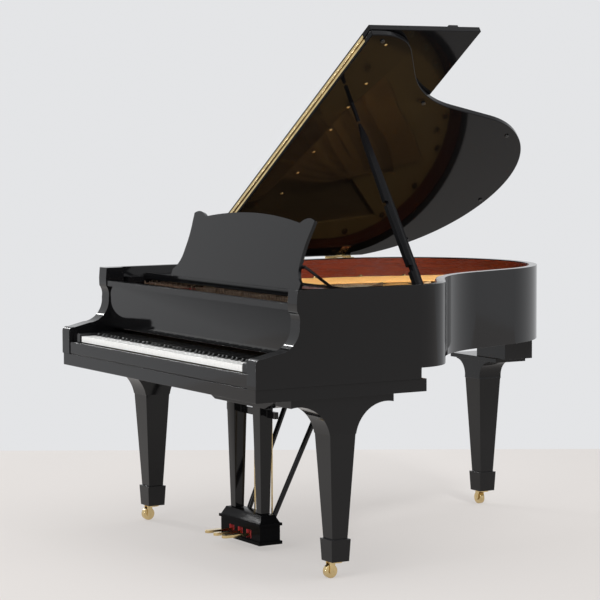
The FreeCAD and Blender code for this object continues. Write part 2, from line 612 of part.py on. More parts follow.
# Fallboard standing open; it swings forward over the keys on two end pins
fy, fz = size("fall_y"), size("fall_z")
front, rear = fy - size("fall_wall") / 2, fy + size("fall_wall") / 2
high, lip = size("fall_high"), size("fall_lip")
board_curves = [Part.LineSegment(vec(front, fz), vec(front, high - lip)),
                Part.LineSegment(vec(front, high - lip), vec(front - size("fall_reach"), high - lip))]
board_curves += lines([vec(front - size("fall_reach"), high - lip), vec(front - size("fall_reach"), high),
                       vec(rear, high), vec(rear, fz)])
board_curves.append(Part.Arc(vec(rear, fz), vec(fy, fz - size("fall_wall") / 2), vec(front, fz)))
fall_half = "Dims.case_width / 2 - Dims.arm_wall - Dims.fall_side"
leaf_board = prism("leaf_board", "YZ_Plane", board_curves, f"-({fall_half})", f"2 * ({fall_half})")
fall_pins = [rod(f"fall_pin_{side}", "Dims.fall_pin", vec(side * (fall_pin_start - 8), fy, fz),
                 vec(side * (HALF - ARM + size("fall_bore") - 1), fy, fz)) for side in (-1, 1)]
node(fuse("fallboard_set", [leaf_board] + fall_pins), "fallboard")

# Desk tray with a front lip, a bead to hold the pages and hinge ears
tray_high = "Dims.tray_low + Dims.tray_wall"
dy, dz, desk_pin = size("desk_y"), size("desk_z"), size("desk_pin")
tray_half = f"{INSIDE} - Dims.tray_side"
tray_parts = [box("tray_board", (f"-({tray_half})", "Dims.tray_front", "Dims.tray_low"),
                  (tray_half, "Dims.tray_back", tray_high)),
              box("tray_lip",
                  (f"-({tray_half}) + Dims.runner_wide", "Dims.tray_front", "Dims.tray_low - Dims.tray_lip"),
                  (f"{tray_half} - Dims.runner_wide", "Dims.tray_front + 12", tray_high)),
              box("tray_bead", (f"-({tray_half}) + Dims.runner_wide", "Dims.tray_front", tray_high),
                  (f"{tray_half} - Dims.runner_wide", "Dims.tray_front + 6", f"{tray_high} + 5"))]
for side in (-1, 1):
    for offset in (-24, 24):
        x = side * 260 + offset
        tray_parts.append(box(f"ear_{side}_{offset}".replace("-", "m"),
                              (f"{x - 6}", "Dims.desk_y - 4", tray_high),
                              (f"{x + 6}", "Dims.desk_y + 4", "Dims.desk_z + 4")))
    tray_parts.append(rod(f"desk_pin_{side}".replace("-", "m"), "Dims.desk_pin", vec(side * 260 - 30, dy, dz),
                          vec(side * 260 + 30, dy, dz)))
node(fuse("tray_set", tray_parts), "desk_tray")

# Music desk, drawn flat and face up behind its hinge, then tipped up
tall, foot_x, waist, horn, notch = (size(w) for w in ("desk_height", "desk_foot", "desk_waist", "desk_horn",
                                                        "desk_notch"))
desk_curves = [Part.LineSegment(vec(-foot_x, dy - 9), vec(foot_x, dy - 9))]
for side in (-1, 1):
    desk_curves += [
        Part.LineSegment(vec(side * foot_x, dy - 9), vec(side * foot_x, dy + 16)),
        Part.Arc(vec(side * foot_x, dy + 16), vec(side * (waist + 12), dy + 46), vec(side * waist, dy + 94)),
        Part.Arc(vec(side * waist, dy + 94), vec(side * (waist - 2), dy + 150), vec(side * (waist + 5), dy + 200)),
        Part.LineSegment(vec(side * (waist + 5), dy + 200), vec(side * horn, dy + tall - 15)),
        Part.Arc(vec(side * horn, dy + tall - 15), vec(side * (horn - 45), dy + tall - 7),
                 vec(side * notch, dy + tall - 26))]
desk_curves.append(Part.Arc(vec(-notch, dy + tall - 26), vec(0, dy + tall), vec(notch, dy + tall - 26)))
desk_plane = prism("desk_plane", "XY_Plane", desk_curves, "Dims.desk_z + Dims.desk_lift", "Dims.desk_wall")
tabs = []
for side in (-1, 1):
    tabs.append(box(f"tab_{side}".replace("-", "m"), (f"{side * 260 - 16}", "Dims.desk_y - 4.5", "Dims.desk_z - 4.5"),
                    (f"{side * 260 + 16}", "Dims.desk_y + 40", "Dims.desk_z + Dims.desk_lift + 2")))
desk_bores = [rod(f"tab_bore_{side}".replace("-", "m"), "Dims.desk_pin + Dims.running_fit",
                  vec(side * 260 - 30, dy, dz), vec(side * 260 + 30, dy, dz)) for side in (-1, 1)]
strut_y = dy + size("strut_hang")
TILT = turn(vec(1, 0, 0), 90 - size("desk_tilt"), vec(0, dy, dz))
hangers = [rod(f"hanger_{side}".replace("-", "m"), "Dims.desk_pin",
               vec(side * (size("strut_x") - 26), strut_y, dz), vec(side * (size("strut_x") + 5), strut_y, dz))
           for side in (-1, 1)]
hanger_blocks = [box(f"hanger_block_{side}".replace("-", "m"),
                     (f"{side} * (Dims.strut_x - 20) - 6", f"{strut_y - 6}", "Dims.desk_z - 4"),
                     (f"{side} * (Dims.strut_x - 20) + 6", f"{strut_y + 6}", "Dims.desk_z + Dims.desk_lift + 2"))
                 for side in (-1, 1)]
desk_whole = fuse("desk_whole", [desk_plane] + tabs + hangers + hanger_blocks)
node(cut("desk_bored", desk_whole, fuse("tab_bores", desk_bores)), "music_desk", CASE.multiply(TILT))

# Struts behind the desk, drawn level and turned down to the tray
strut_at = TILT.multVec(vec(0, strut_y, dz))
STRUT = FreeCAD.Placement(strut_at, FreeCAD.Rotation(vec(1, 0, 0), -size("strut_angle")))
sd, sx = size("strut_deep"), size("strut_x")
strut_bars = []
for side in (-1, 1):
    bar = Part.makeBox(10, size("strut_length") + 6, sd, vec(side * sx - 5, -6, -sd / 2))
    strut_bars.append(bar.cut(Part.makeCylinder(desk_pin + fit, 40, vec(side * sx - 20, 0, 0), along_x)))
node(solids("struts", strut_bars), "desk_strut", CASE.multiply(STRUT))

# Legs: tapered post on a foot, with a flared cap under the case
stem_r = size("stem_radius")


def flare_curves(centre, half, top, reach_out, rise, brim_wall):
    curl = top - brim_wall
    ends = []
    curves = []
    for side in (-1, 1):
        knee = vec(centre + side * half, curl - rise)
        swell = vec(centre + side * (half + reach_out * 0.27), curl - rise * 0.28)
        brim = vec(centre + side * (half + reach_out), curl)
        rim_edge = vec(brim.x, top)
        curves += [Part.Arc(knee, swell, brim), Part.LineSegment(brim, rim_edge)]
        ends.append((knee, rim_edge))
    curves.append(Part.LineSegment(ends[0][0], ends[1][0]))
    curves.append(Part.LineSegment(ends[0][1], ends[1][1]))
    return curves


def leg(name, x, y, top_words, top, plane, flare, extra):
    half = size("knee_wide") / 2
    centre = y if plane == "YZ_Plane" else x
    other = x if plane == "YZ_Plane" else -y
    reach_out, rise, brim_wall = flare
    curves = flare_curves(centre, half, top, size(reach_out), size(rise), size(brim_wall))
    cap = prism(name + "_cap", plane, curves, f"{other} - Dims.knee_wide / 2", "Dims.knee_wide")
    cap_low = f"{top_words} - Dims.{brim_wall} - Dims.{rise}"
    post = taper(name + "_post", x, y, "Dims.foot_high", cap_low, "Dims.ankle_wide", "Dims.knee_wide - 3")
    shoe = taper(name + "_shoe", x, y, "Dims.foot_low", "Dims.foot_high", "Dims.foot_base", "Dims.foot_wide")
    socket = rod(name + "_socket", "Dims.stem_radius + Dims.running_fit", vec(x, y, 0),
                 vec(x, y, size("foot_low") + size("stem_height") + 1))
    return cut(name, fuse(name + "_set", [cap, post, shoe] + extra), socket)


LEG_X = HALF - size("leg_inset")
TAIL_X, TAIL_Y = size("tail_leg_x"), LENGTH - size("tail_leg_inset")
LEGS = {"bass_front": (-LEG_X, size("leg_y")), "treble_front": (LEG_X, size("leg_y")), "tail": (TAIL_X, TAIL_Y)}
bed_words, bed_under = "Dims.keybed_bottom - Dims.glue", size("keybed_bottom") - size("glue")
front_flare, tail_flare = ("flare_reach", "flare_rise", "cap_wall"), ("tail_reach", "tail_rise", "tail_brim")
node(leg("bass_leg", *LEGS["bass_front"], bed_words, bed_under, "YZ_Plane", front_flare, []), "bass_front_leg")
node(leg("treble_leg", *LEGS["treble_front"], bed_words, bed_under, "YZ_Plane", front_flare, []), "treble_front_leg")
flange_top = "Dims.tail_top + Dims.flange_wall"
flange = box("tail_flange", (f"{TAIL_X - 110}", f"{TAIL_Y - 80}", "Dims.tail_top"),
             (f"{TAIL_X + 200}", f"{TAIL_Y + 62}", flange_top))
tail_block = box("tail_block", (f"{TAIL_X + 57}", f"{TAIL_Y - 70}", flange_top),
                 (f"{TAIL_X + 247}", f"{TAIL_Y + 60}", "Dims.rim_bottom - Dims.glue"))
node(leg("rear_leg", *LEGS["tail"], "Dims.tail_top", size("tail_top"), "XZ_Plane", tail_flare, [flange, tail_block]),
     "tail_leg")

# Casters: a swivelling fork and a brass wheel, drawn trailing towards the keys
wheel_r, axle_r, trail = size("wheel_radius"), size("axle_radius"), size("caster_trail")
half_wheel = size("wheel_width") / 2
for place, (x, y) in LEGS.items():
    plate_top = size("foot_low") - 0.4
    disc = Part.makeCylinder(24, size("fork_plate"), vec(0, 0, plate_top - size("fork_plate")))
    stem = Part.makeCylinder(stem_r, size("stem_height") + 0.4, vec(0, 0, plate_top))
    fork_sides = []
    for side in (-1, 1):
        inner_x = half_wheel + 0.8
        low_x = inner_x if side > 0 else -inner_x - size("fork_wall")
        cheek = Part.makeBox(size("fork_wall"), 20, plate_top - wheel_r - 1, vec(low_x, -trail - 8, wheel_r))
        round_end = Part.makeCylinder(9, size("fork_wall"), vec(low_x, -trail, wheel_r), along_x)
        fork_sides += [cheek, round_end]
    axle = Part.makeCylinder(axle_r, 2 * half_wheel + 4, vec(-half_wheel - 2, -trail, wheel_r), along_x)
    fork = disc.fuse([stem, axle] + fork_sides).removeSplitter()
    wheel = Part.makeCylinder(wheel_r, 2 * half_wheel, vec(-half_wheel, -trail, wheel_r), along_x)
    wheel = wheel.cut(Part.makeCylinder(axle_r + fit, 80, vec(-40, -trail, wheel_r), along_x))
    facing = -90 if place == "tail" else 0
    spot = CASE.multiply(FreeCAD.Placement(vec(x, y), FreeCAD.Rotation(vec(0, 0, 1), facing)))
    node(solids(place + "_fork", fork.Solids), place + "_caster_fork", spot)
    node(solids(place + "_wheel", wheel.Solids), place + "_caster_wheel", spot)

# Lyre: two posts and a head under the keybed, with the pedal box at the bottom
ly, post_x = size("lyre_y"), size("post_x")
roof_top = "Dims.box_high + Dims.box_roof"
posts = [taper(f"post_{i}", side * post_x, ly, roof_top, "Dims.head_low", "Dims.post_low", "Dims.post_high")
         for i, side in enumerate((-1, 1))]
head_half, head_low = size("head_half"), size("head_low")
shoulder, toe_half = head_low + size("head_rise"), head_half - size("head_slope")
head_outline = loop([vec(-head_half, bed_under), vec(-head_half, shoulder), vec(-toe_half, head_low),
                     vec(toe_half, head_low), vec(head_half, shoulder), vec(head_half, bed_under)])
head = prism("lyre_head", "XZ_Plane", head_outline, "-Dims.lyre_y - Dims.head_deep / 2", "Dims.head_deep")
cross = box("lyre_cross", ("-Dims.cross_half", "Dims.lyre_y + 2", "Dims.cross_low"),
            ("Dims.cross_half", "Dims.lyre_y + 18", "Dims.cross_low + Dims.cross_high"))
node(fuse("lyre_set", posts + [head, cross]), "lyre_frame")
near, far = "Dims.lyre_y - Dims.box_deep / 2", "Dims.lyre_y + Dims.box_deep / 2"
body_parts = [box("box_body", ("-Dims.box_half", near, "Dims.box_low"), ("Dims.box_half", far, "Dims.box_high"))]
for name, low, high in (("base", "Dims.box_low", "Dims.box_low + 12"),
                        ("crown", "Dims.box_high - 10", "Dims.box_high")):
    body_parts.append(box("box_" + name, ("-Dims.box_half - Dims.moulding", f"{near} - Dims.moulding", low),
                          ("Dims.box_half + Dims.moulding", f"{far} + Dims.moulding", high)))
roof = doc.addObject("Part::Wedge", "box_roof_wedge")
for prop, value in (("Xmin", "-Dims.box_half"), ("Xmax", "Dims.box_half"),
                    ("X2min", "-Dims.box_half + Dims.roof_slope"),
                    ("X2max", "Dims.box_half - Dims.roof_slope"),
                    ("Zmin", "-Dims.box_deep / 2"), ("Zmax", "Dims.box_deep / 2"),
                    ("Z2min", "-Dims.box_deep / 2 + Dims.roof_slope"),
                    ("Z2max", "Dims.box_deep / 2 - Dims.roof_slope"),
                    ("Ymin", "Dims.box_high"), ("Ymax", f"{roof_top} - Dims.glue")):
    roof.setExpression(prop, value)
roof.Placement = FreeCAD.Placement(vec(0, ly), FreeCAD.Rotation(vec(1, 0, 0), 90))
body_parts.append(roof)
level, pitch = size("pedal_level"), size("pedal_pitch")
slots = [box(f"slot_{i}", (f"{x} * Dims.pedal_pitch - Dims.pedal_slot / 2", f"{near} - 20", "Dims.pedal_level - 15"),
             (f"{x} * Dims.pedal_pitch + Dims.pedal_slot / 2", f"{far} + 20", "Dims.pedal_level + 17"))
         for i, x in enumerate((-1, 0, 1))]
slots.append(rod("pedal_bore", "Dims.pedal_pin + Dims.running_fit", vec(-pitch - 30, ly, level),
                 vec(pitch + 30, ly, level)))
node(cut("box_slotted", fuse("box_set", body_parts), fuse("slot_set", slots)), "pedal_box")
brace_foot, brace_block = size("box_high") - 8, bed_under - size("brace_block")
braces = []
for i, side in enumerate((-1, 1)):
    braces.append(rod(f"brace_{i}", "Dims.brace_radius",
                      vec(side * size("brace_low_x"), size("brace_low_y"), brace_foot),
                      vec(side * size("brace_high_x"), size("brace_high_y"), brace_block + 12)))
    mid = f"{side} * Dims.brace_high_x"
    braces.append(box(f"brace_block_{i}",
                      (f"{mid} - Dims.brace_block_wide / 2", "Dims.brace_high_y - Dims.brace_block_deep + 12",
                       "Dims.keybed_bottom - Dims.glue - Dims.brace_block"),
                      (f"{mid} + Dims.brace_block_wide / 2", "Dims.brace_high_y + 12",
                       "Dims.keybed_bottom - Dims.glue")))
below_bed = box("below_bed", ("-500", "0", "Dims.box_high"), ("500", "900", "Dims.keybed_bottom - Dims.glue"))
brace_cut = doc.addObject("Part::MultiCommon", "brace_cut")
brace_cut.Shapes = [fuse("brace_set", braces), below_bed]
node(cut("brace_ends", brace_cut, roof), "lyre_braces")

# Pedals and the rods that they lift
for name, x in (("shift", -pitch), ("sostenuto", 0), ("damper", pitch)):
    tip_y, wide_tip, wall = size("pedal_tip"), size("pedal_wide"), size("pedal_wall")
    stalk = Part.makeBox(18, size("rod_y") + 8 - tip_y - 50, wall, vec(x - 9, tip_y + 50, level - wall / 2))
    toe = Part.makeBox(wide_tip, 60, wall, vec(x - wide_tip / 2, tip_y + wide_tip / 2, level - wall / 2))
    toe_round = Part.makeCylinder(wide_tip / 2, wall, vec(x, tip_y + wide_tip / 2, level - wall / 2))
    stub = Part.makeCylinder(size("pedal_pin"), size("pedal_slot") + 12,
                             vec(x - size("pedal_slot") / 2 - 6, ly, level), along_x)
    lever = stalk.fuse([toe, toe_round, stub]).removeSplitter()
    node(solids(name + "_lever", lever.Solids), name + "_pedal")
    rise = Part.makeCylinder(size("rod_radius"), size("rod_top") - level - wall / 2 - 0.8,
                             vec(x, size("rod_y"), level + wall / 2 + 0.8))
    node(solids(name + "_rise", [rise]), name + "_pedal_rod")

# Key frame with rails, end posts and the hammer rail
KEY_EDGE = f"{KEYS_HALF} - 2"
FRAME_LOW = "Dims.arm_bottom + 0.5"
under = "Dims.key_bottom - Dims.rail_lift"
bead_level = f"{under} - Dims.bead_radius"
bead_at = vec(0, size("balance_line"), size("key_bottom") - size("rail_lift") - size("bead_radius"))
keys_half = HALF - ARM - size("block_wide")
frame_parts = [
    box("front_rail", (f"-({KEY_EDGE})", "Dims.key_front + 10", FRAME_LOW),
        (KEY_EDGE, "Dims.key_front + 50", "Dims.key_bottom - 20")),
    box("balance_rail", (f"-({KEY_EDGE})", "Dims.balance_line - Dims.bead_radius", FRAME_LOW),
        (KEY_EDGE, "Dims.balance_line + Dims.bead_radius", bead_level)),
    rod("balance_bead", "Dims.bead_radius", bead_at - vec(keys_half - 2, 0), bead_at + vec(keys_half - 2, 0)),
    box("back_rail", (f"-({KEY_EDGE}) - 32", "Dims.key_back - 40", FRAME_LOW),
        (f"{KEY_EDGE} + 32", "Dims.key_back", under)),
    box("hammer_rail", (f"-({KEY_EDGE}) - 32", "Dims.hammer_line - 12", "Dims.hammer_level - 24"),
        (f"{KEY_EDGE} + 32", "Dims.hammer_line + 12", "Dims.hammer_level - 6.5"))]
for name, sign in (("bass", "-1"), ("treble", "1")):
    mid = f"{sign} * ({KEY_EDGE} + 20)"
    frame_parts.append(box(name + "_post", (f"{mid} - 10", "Dims.hammer_line - 20", FRAME_LOW),
                           (f"{mid} + 10", "Dims.hammer_line + 20", "Dims.hammer_level - 6.5")))
    frame_parts.append(box(name + "_tie", (f"{mid} - 10", "Dims.hammer_line", FRAME_LOW),
                           (f"{mid} + 10", "Dims.key_back", "Dims.key_bottom - 24")))
    stick_x = f"{sign} * ({KEY_EDGE} - 40)"
    frame_parts.append(box(name + "_stick", (f"{stick_x} - 20", "Dims.key_front + 10", FRAME_LOW),
                           (f"{stick_x} + 20", "Dims.key_back", "Dims.key_bottom - 24")))
node(fuse("frame_set", frame_parts), "key_frame")

# Keys: 52 naturals with notched tails, 36 sharps between them, from A up to C
NATURALS = "abcdefg"
SHARP_SHIFT = {"c_sharp": -3, "d_sharp": 3, "f_sharp": -4, "g_sharp": 0, "a_sharp": 4}
key_p, gap = keys_half / 26, size("key_gap")
keys = {name: [] for name in list(NATURALS) + list(SHARP_SHIFT)}
low_z, top_z = size("key_bottom"), size("key_top")
front_y, head_y, back_y = size("key_front"), size("key_front") + size("key_head"), size("key_back")
sharp_half = size("sharp_width") / 2
sharp_at = {}
for index in range(51):
    name = NATURALS[index % 7] + "_sharp"
    if name in SHARP_SHIFT:
        sharp_at[index] = (name, (index + 1 - 26) * key_p + SHARP_SHIFT[name])
for index in range(52):
    left, right = (index - 26) * key_p + gap / 2, (index - 25) * key_p - gap / 2
    tail_left, tail_right = left, right
    if index - 1 in sharp_at:
        tail_left = sharp_at[index - 1][1] + sharp_half + gap
    if index in sharp_at:
        tail_right = sharp_at[index][1] - sharp_half - gap
    head = slab([vec(left, front_y), vec(right, front_y), vec(right, head_y), vec(left, head_y)], low_z, top_z)
    tail = slab([vec(tail_left, head_y), vec(tail_right, head_y), vec(tail_right, back_y), vec(tail_left, back_y)],
                low_z, top_z)
    keys[NATURALS[index % 7]].append(head.fuse(tail).removeSplitter())
sharp_front, sharp_back, sharp_z = head_y + gap + 0.6, size("sharp_back"), size("sharp_top")
sharp_side = [(sharp_front, low_z), (back_y, low_z), (back_y, top_z - 3), (sharp_back, top_z - 3),
              (sharp_back, sharp_z - 1), (sharp_back - 4, sharp_z), (sharp_front + 7, sharp_z - 1),
              (sharp_front, top_z)]
for name, x in sharp_at.values():
    profile = [vec(x - sharp_half, y, z) for y, z in sharp_side]
    face = Part.Face(Part.makePolygon(profile + profile[:1]))
    keys[name].append(face.extrude(vec(2 * sharp_half, 0, 0)))
for name, shapes in keys.items():
    label = f"keys_{name}" if name in SHARP_SHIFT else f"keys_{name}_natural"
    node(solids(label + "_set", shapes), label)

# Hammers on their rail and dampers over the strings
hammers, dampers = [], []
hl, hz = size("hammer_line"), size("hammer_level")
for note in range(1, 89):
    ends = plain_ends(note) if note > 26 else wound_ends(note)
    x = along(ends, STRIKE + 14).x
    butt = Part.makeCylinder(6, 8, vec(x - 4, hl, hz), along_x)
    shank = Part.makeBox(5, 125, 5, vec(x - 2.5, hl, hz - 2.5))
    outline = [vec(x - 4.5, hl + 113, hz - 3), vec(x - 4.5, hl + 137, hz - 3), vec(x - 4.5, hl + 133, hz + 36),
               vec(x - 4.5, hl + 125, hz + 45), vec(x - 4.5, hl + 117, hz + 36)]
    felt = Part.Face(Part.makePolygon(outline + outline[:1])).extrude(vec(9, 0, 0))
    hammers.append(butt.fuse([shank, felt]).removeSplitter())
    if note <= 68:
        wound_top = size("wound_level") + size("wound_radius")
        level = wound_top if note <= 26 else size("string_level") + size("string_radius")
        start = along(ends, size("damper_line"))
        slant = math.degrees(math.atan2(ends[0].x - ends[1].x, ends[1].y - ends[0].y))
        pad_block = Part.makeBox(7.5, size("damper_length"), size("damper_height"),
                                 vec(-3.75, 0, level + 0.4))
        pad_block.Placement = FreeCAD.Placement(vec(start.x, start.y), FreeCAD.Rotation(vec(0, 0, 1), slant))
        dampers.append(pad_block)
node(solids("hammer_set", hammers), "hammers")
node(solids("damper_set", dampers), "dampers")

doc.recompute()
for piece in doc.Objects:
    if "Invalid" in piece.State or "Error" in piece.State:
        raise RuntimeError(f"{piece.Name} did not build")
os.makedirs("parts", exist_ok=True)
for piece in NODES:
    if piece.Shape.isNull() or not piece.Shape.isValid():
        raise RuntimeError(f"{piece.Label} has no valid shape")
    piece.Shape.exportStep(f"parts/{piece.Label}.step")
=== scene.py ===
import json
import math

import bmesh
import bpy
from mathutils import Matrix, Vector


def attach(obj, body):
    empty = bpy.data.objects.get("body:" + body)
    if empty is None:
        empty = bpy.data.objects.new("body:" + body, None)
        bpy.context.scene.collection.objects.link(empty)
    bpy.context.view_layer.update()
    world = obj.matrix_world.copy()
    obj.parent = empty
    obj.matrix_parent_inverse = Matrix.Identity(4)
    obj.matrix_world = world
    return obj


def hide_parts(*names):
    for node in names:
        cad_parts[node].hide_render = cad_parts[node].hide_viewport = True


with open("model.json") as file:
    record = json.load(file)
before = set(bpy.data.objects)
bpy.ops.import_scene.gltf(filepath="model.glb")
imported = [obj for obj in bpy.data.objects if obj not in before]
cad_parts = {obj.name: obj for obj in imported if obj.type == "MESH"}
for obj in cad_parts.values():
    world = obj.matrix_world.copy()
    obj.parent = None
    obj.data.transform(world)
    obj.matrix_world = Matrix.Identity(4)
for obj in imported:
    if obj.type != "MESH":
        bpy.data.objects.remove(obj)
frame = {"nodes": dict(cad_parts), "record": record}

bl_info = {
    "name": "Baby grand piano dresser",
    "version": (1, 0, 0),
    "blender": (4, 5, 0),
    "location": "View3D > Sidebar > Piano",
    "description": "Finishes, felts, studs and studio for a black baby grand piano",
    "category": "Object",
}

NODES = frame["nodes"]
BODIES = frame["record"]["behaviour"]["bodies"]
BODY_OF = {node: body for body, members in BODIES.items() for node in members}
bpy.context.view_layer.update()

# The front of the arms and the hinge line of the lid, in metres in the frame
FRONT = -0.87335
LID_PIVOT = Vector((-0.7418, 0.0, 0.9841))
LID_ANGLE = math.radians(34.2)

# Places in millimetres, counted from the front of the arms, the middle and the floor
STRIKE = 405.0
PLATE_TOP = 904.0
LID_UNDERSIDE = 985.0
HINGE_LEAF_FACE = 982.7
HINGE_MIDDLES = (725.8, 1233.8)
KEYS_HALF_WIDE = 611.0
PEDAL_PITCH = 62.0

# String layout in millimetres, by notes counted from the lowest
TOP_NOTE, FIRST_PLAIN = 88, 27
WOUND_NOTES, PLAIN_NOTES = range(1, FIRST_PLAIN), range(FIRST_PLAIN, TOP_NOTE + 1)
NOTES_AT_STRUTS, STRUT_GAP = (81, 68, 54, 40), 20.0
PLAIN_FRONT, PLAIN_SPREAD, PLAIN_SLANT = 590.0, 723.0, 140.0
PLAIN_SHORTEST, PLAIN_GAIN, PLAIN_CURVE = 150.0, 700.0, 1.35
WOUND_FRONT, WOUND_FRONT_SPREAD = -605.0, 329.0
WOUND_END, WOUND_END_SPREAD = -345.0, 250.0
WOUND_FAR, WOUND_FAR_DROP = 1585.0, 170.0

# Angles from which an edge stays a crease, on a made mesh and on a CAD node, or is rounded
CREASE = math.radians(35.0)
NODE_CREASE = math.radians(32.0)
ROUNDED_FROM = math.radians(42.0)

# Places in metres where a finish changes along one piece, and where painted shade begins
# Painted shade: in front of this band the plate and the wound strings are painted dark brown, for the shade
# over the tuning-pin field
SHADED_PIN_FIELD = (FRONT + 0.392, FRONT + 0.405)
KEY_COVER_LOW = 0.7282
KEY_FRONT_FACE = FRONT + 0.0215
KEY_COVER_BACK = FRONT + 0.172
HAMMER_FELT_LOW = 0.817
BASS_DAMPERS = -0.245
DAMPER_FELT_TOPS = (0.9195, 0.9267)


def spot(x, y, z):
    """A place in millimetres, counted from the front of the arms, as metres in the frame."""
    return Vector((x / 1000.0, FRONT + y / 1000.0, z / 1000.0))


def on_lid(x, y, z):
    """A place on the shut lid, carried to where it is with the lid open."""
    turn = Matrix.Rotation(-LID_ANGLE, 3, "Y")
    return LID_PIVOT + turn @ (spot(x, y, z) - LID_PIVOT)


def lid_way(direction):
    """A direction on the shut lid, turned with the open lid."""
    return Matrix.Rotation(-LID_ANGLE, 3, "Y") @ Vector(direction)


def plain_string(note):
    """Both ends of a plain string in millimetres, at the strike line and at its hitch pin."""
    share = (TOP_NOTE - note) / (TOP_NOTE - FIRST_PLAIN)
    passed = len([first for first in NOTES_AT_STRUTS if note < first])
    front = PLAIN_FRONT - PLAIN_SPREAD * share - STRUT_GAP * passed
    far = STRIKE + PLAIN_SHORTEST + PLAIN_GAIN * share ** PLAIN_CURVE
    return (front, STRIKE), (front - PLAIN_SLANT * share, far)


def wound_string(note):
    """Both ends of a wound string in millimetres, at the strike line and at its hitch pin."""
    share = (note - 1) / (FIRST_PLAIN - 2)
    end = WOUND_END + WOUND_END_SPREAD * share, WOUND_FAR - WOUND_FAR_DROP * share
    return (WOUND_FRONT + WOUND_FRONT_SPREAD * share, STRIKE), end


# Shader building


def group_tree(name, inputs, outputs):
    tree = bpy.data.node_groups.new(name, "ShaderNodeTree")
    for label, kind, value in inputs:
        socket = tree.interface.new_socket(label, in_out="INPUT", socket_type=kind)
        socket.default_value = value
    for label, kind in outputs:
        tree.interface.new_socket(label, in_out="OUTPUT", socket_type=kind)
    return tree, tree.nodes.new("NodeGroupInput"), tree.nodes.new("NodeGroupOutput")


def add(tree, kind, **settings):
    node = tree.nodes.new(kind)
    for key, value in settings.items():
        setattr(node, key, value)
    return node


def join(tree, source, target):
    tree.links.new(source, target)


def maths(tree, operation, first, second=None, third=None):
    node = add(tree, "ShaderNodeMath", operation=operation)
    for index, value in enumerate((first, second, third)):
        if value is None:
            continue
        if isinstance(value, (int, float)):
            node.inputs[index].default_value = value
        else:
            join(tree, value, node.inputs[index])
    return node.outputs[0]


def rescale(tree, value, low, high, to_low, to_high):
    node = add(tree, "ShaderNodeMapRange")
    join(tree, value, node.inputs["Value"])
    node.inputs["From Min"].default_value = low
    node.inputs["From Max"].default_value = high
    node.inputs["To Min"].default_value = to_low
    node.inputs["To Max"].default_value = to_high
    return node.outputs["Result"]


def blend_colours(tree, factor, first, second):
    node = add(tree, "ShaderNodeMix", data_type="RGBA")
    join(tree, factor, node.inputs[0])
    for index, value in ((6, first), (7, second)):
        if isinstance(value, (tuple, list)):
            node.inputs[index].default_value = (*value, 1.0)
        else:
            join(tree, value, node.inputs[index])
    return node.outputs[2]


def noise(tree, vector, scale, detail=3.0, roughness=0.5):
    node = add(tree, "ShaderNodeTexNoise")
    join(tree, vector, node.inputs["Vector"])
    if isinstance(scale, (int, float)):
        node.inputs["Scale"].default_value = scale
    else:
        join(tree, scale, node.inputs["Scale"])
    node.inputs["Detail"].default_value = detail
    node.inputs["Roughness"].default_value = roughness
    return node.outputs["Fac"]


def seen_directly(tree):
    """One for camera, mirror and transmission rays, nought for all others."""
    path = add(tree, "ShaderNodeLightPath")
    seen = maths(tree, "MAXIMUM", path.outputs["Is Camera Ray"], path.outputs["Is Glossy Ray"])
    return maths(tree, "MAXIMUM", seen, path.outputs["Is Transmission Ray"])


def polish_group():
    """Slow waves, fine haze and settled dust of a hand-polished lacquer."""
    tree, given, out = group_tree(
        "polish_skin",
        [("Wave Scale", "NodeSocketFloat", 9.0), ("Haze", "NodeSocketFloat", 0.05),
         ("Dust", "NodeSocketFloat", 0.03)],
        [("Roughness", "NodeSocketFloat"), ("Tint", "NodeSocketFloat"), ("Height", "NodeSocketFloat")])
    place = add(tree, "ShaderNodeTexCoord").outputs["Object"]
    waves = noise(tree, place, given.outputs["Wave Scale"], 2.0)
    haze = noise(tree, place, 55.0, 5.0, 0.65)
    specks = rescale(tree, noise(tree, place, 900.0, 1.0), 0.68, 0.8, 0.0, 1.0)
    normal = add(tree, "ShaderNodeNewGeometry").outputs["Normal"]
    parts = add(tree, "ShaderNodeSeparateXYZ")
    join(tree, normal, parts.inputs[0])
    facing_up = rescale(tree, parts.outputs["Z"], 0.55, 1.0, 0.0, 1.0)
    settled = maths(tree, "MULTIPLY", facing_up, given.outputs["Dust"])
    grit = maths(tree, "MULTIPLY", settled, maths(tree, "ADD", haze, specks))
    rough = maths(tree, "MULTIPLY_ADD", haze, given.outputs["Haze"], 0.035)
    join(tree, maths(tree, "ADD", rough, maths(tree, "MULTIPLY", grit, 2.0)), out.inputs["Roughness"])
    join(tree, grit, out.inputs["Tint"])
    join(tree, waves, out.inputs["Height"])
    return tree


def grain_group():
    """Wood figure: long fibres, growth bands and pores, stretched along one axis."""
    tree, given, out = group_tree(
        "wood_figure",
        [("Stretch", "NodeSocketVector", (1.0, 1.0, 1.0)), ("Bands", "NodeSocketFloat", 60.0)],
        [("Figure", "NodeSocketFloat"), ("Pores", "NodeSocketFloat"), ("Height", "NodeSocketFloat")])
    place = add(tree, "ShaderNodeTexCoord").outputs["Object"]
    scaled = add(tree, "ShaderNodeVectorMath", operation="MULTIPLY")
    join(tree, place, scaled.inputs[0])
    join(tree, given.outputs["Stretch"], scaled.inputs[1])
    lazy = noise(tree, scaled.outputs[0], 6.0, 3.0)
    fibre = noise(tree, scaled.outputs[0], given.outputs["Bands"], 6.0, 0.62)
    pores = rescale(tree, noise(tree, scaled.outputs[0], 190.0, 2.0), 0.56, 0.7, 0.0, 1.0)
    figure = maths(tree, "MULTIPLY_ADD", lazy, 0.55, maths(tree, "MULTIPLY", fibre, 0.45))
    join(tree, rescale(tree, figure, 0.32, 0.68, 0.0, 1.0), out.inputs["Figure"])
    join(tree, pores, out.inputs["Pores"])
    join(tree, maths(tree, "SUBTRACT", fibre, maths(tree, "MULTIPLY", pores, 0.4)), out.inputs["Height"])
    return tree


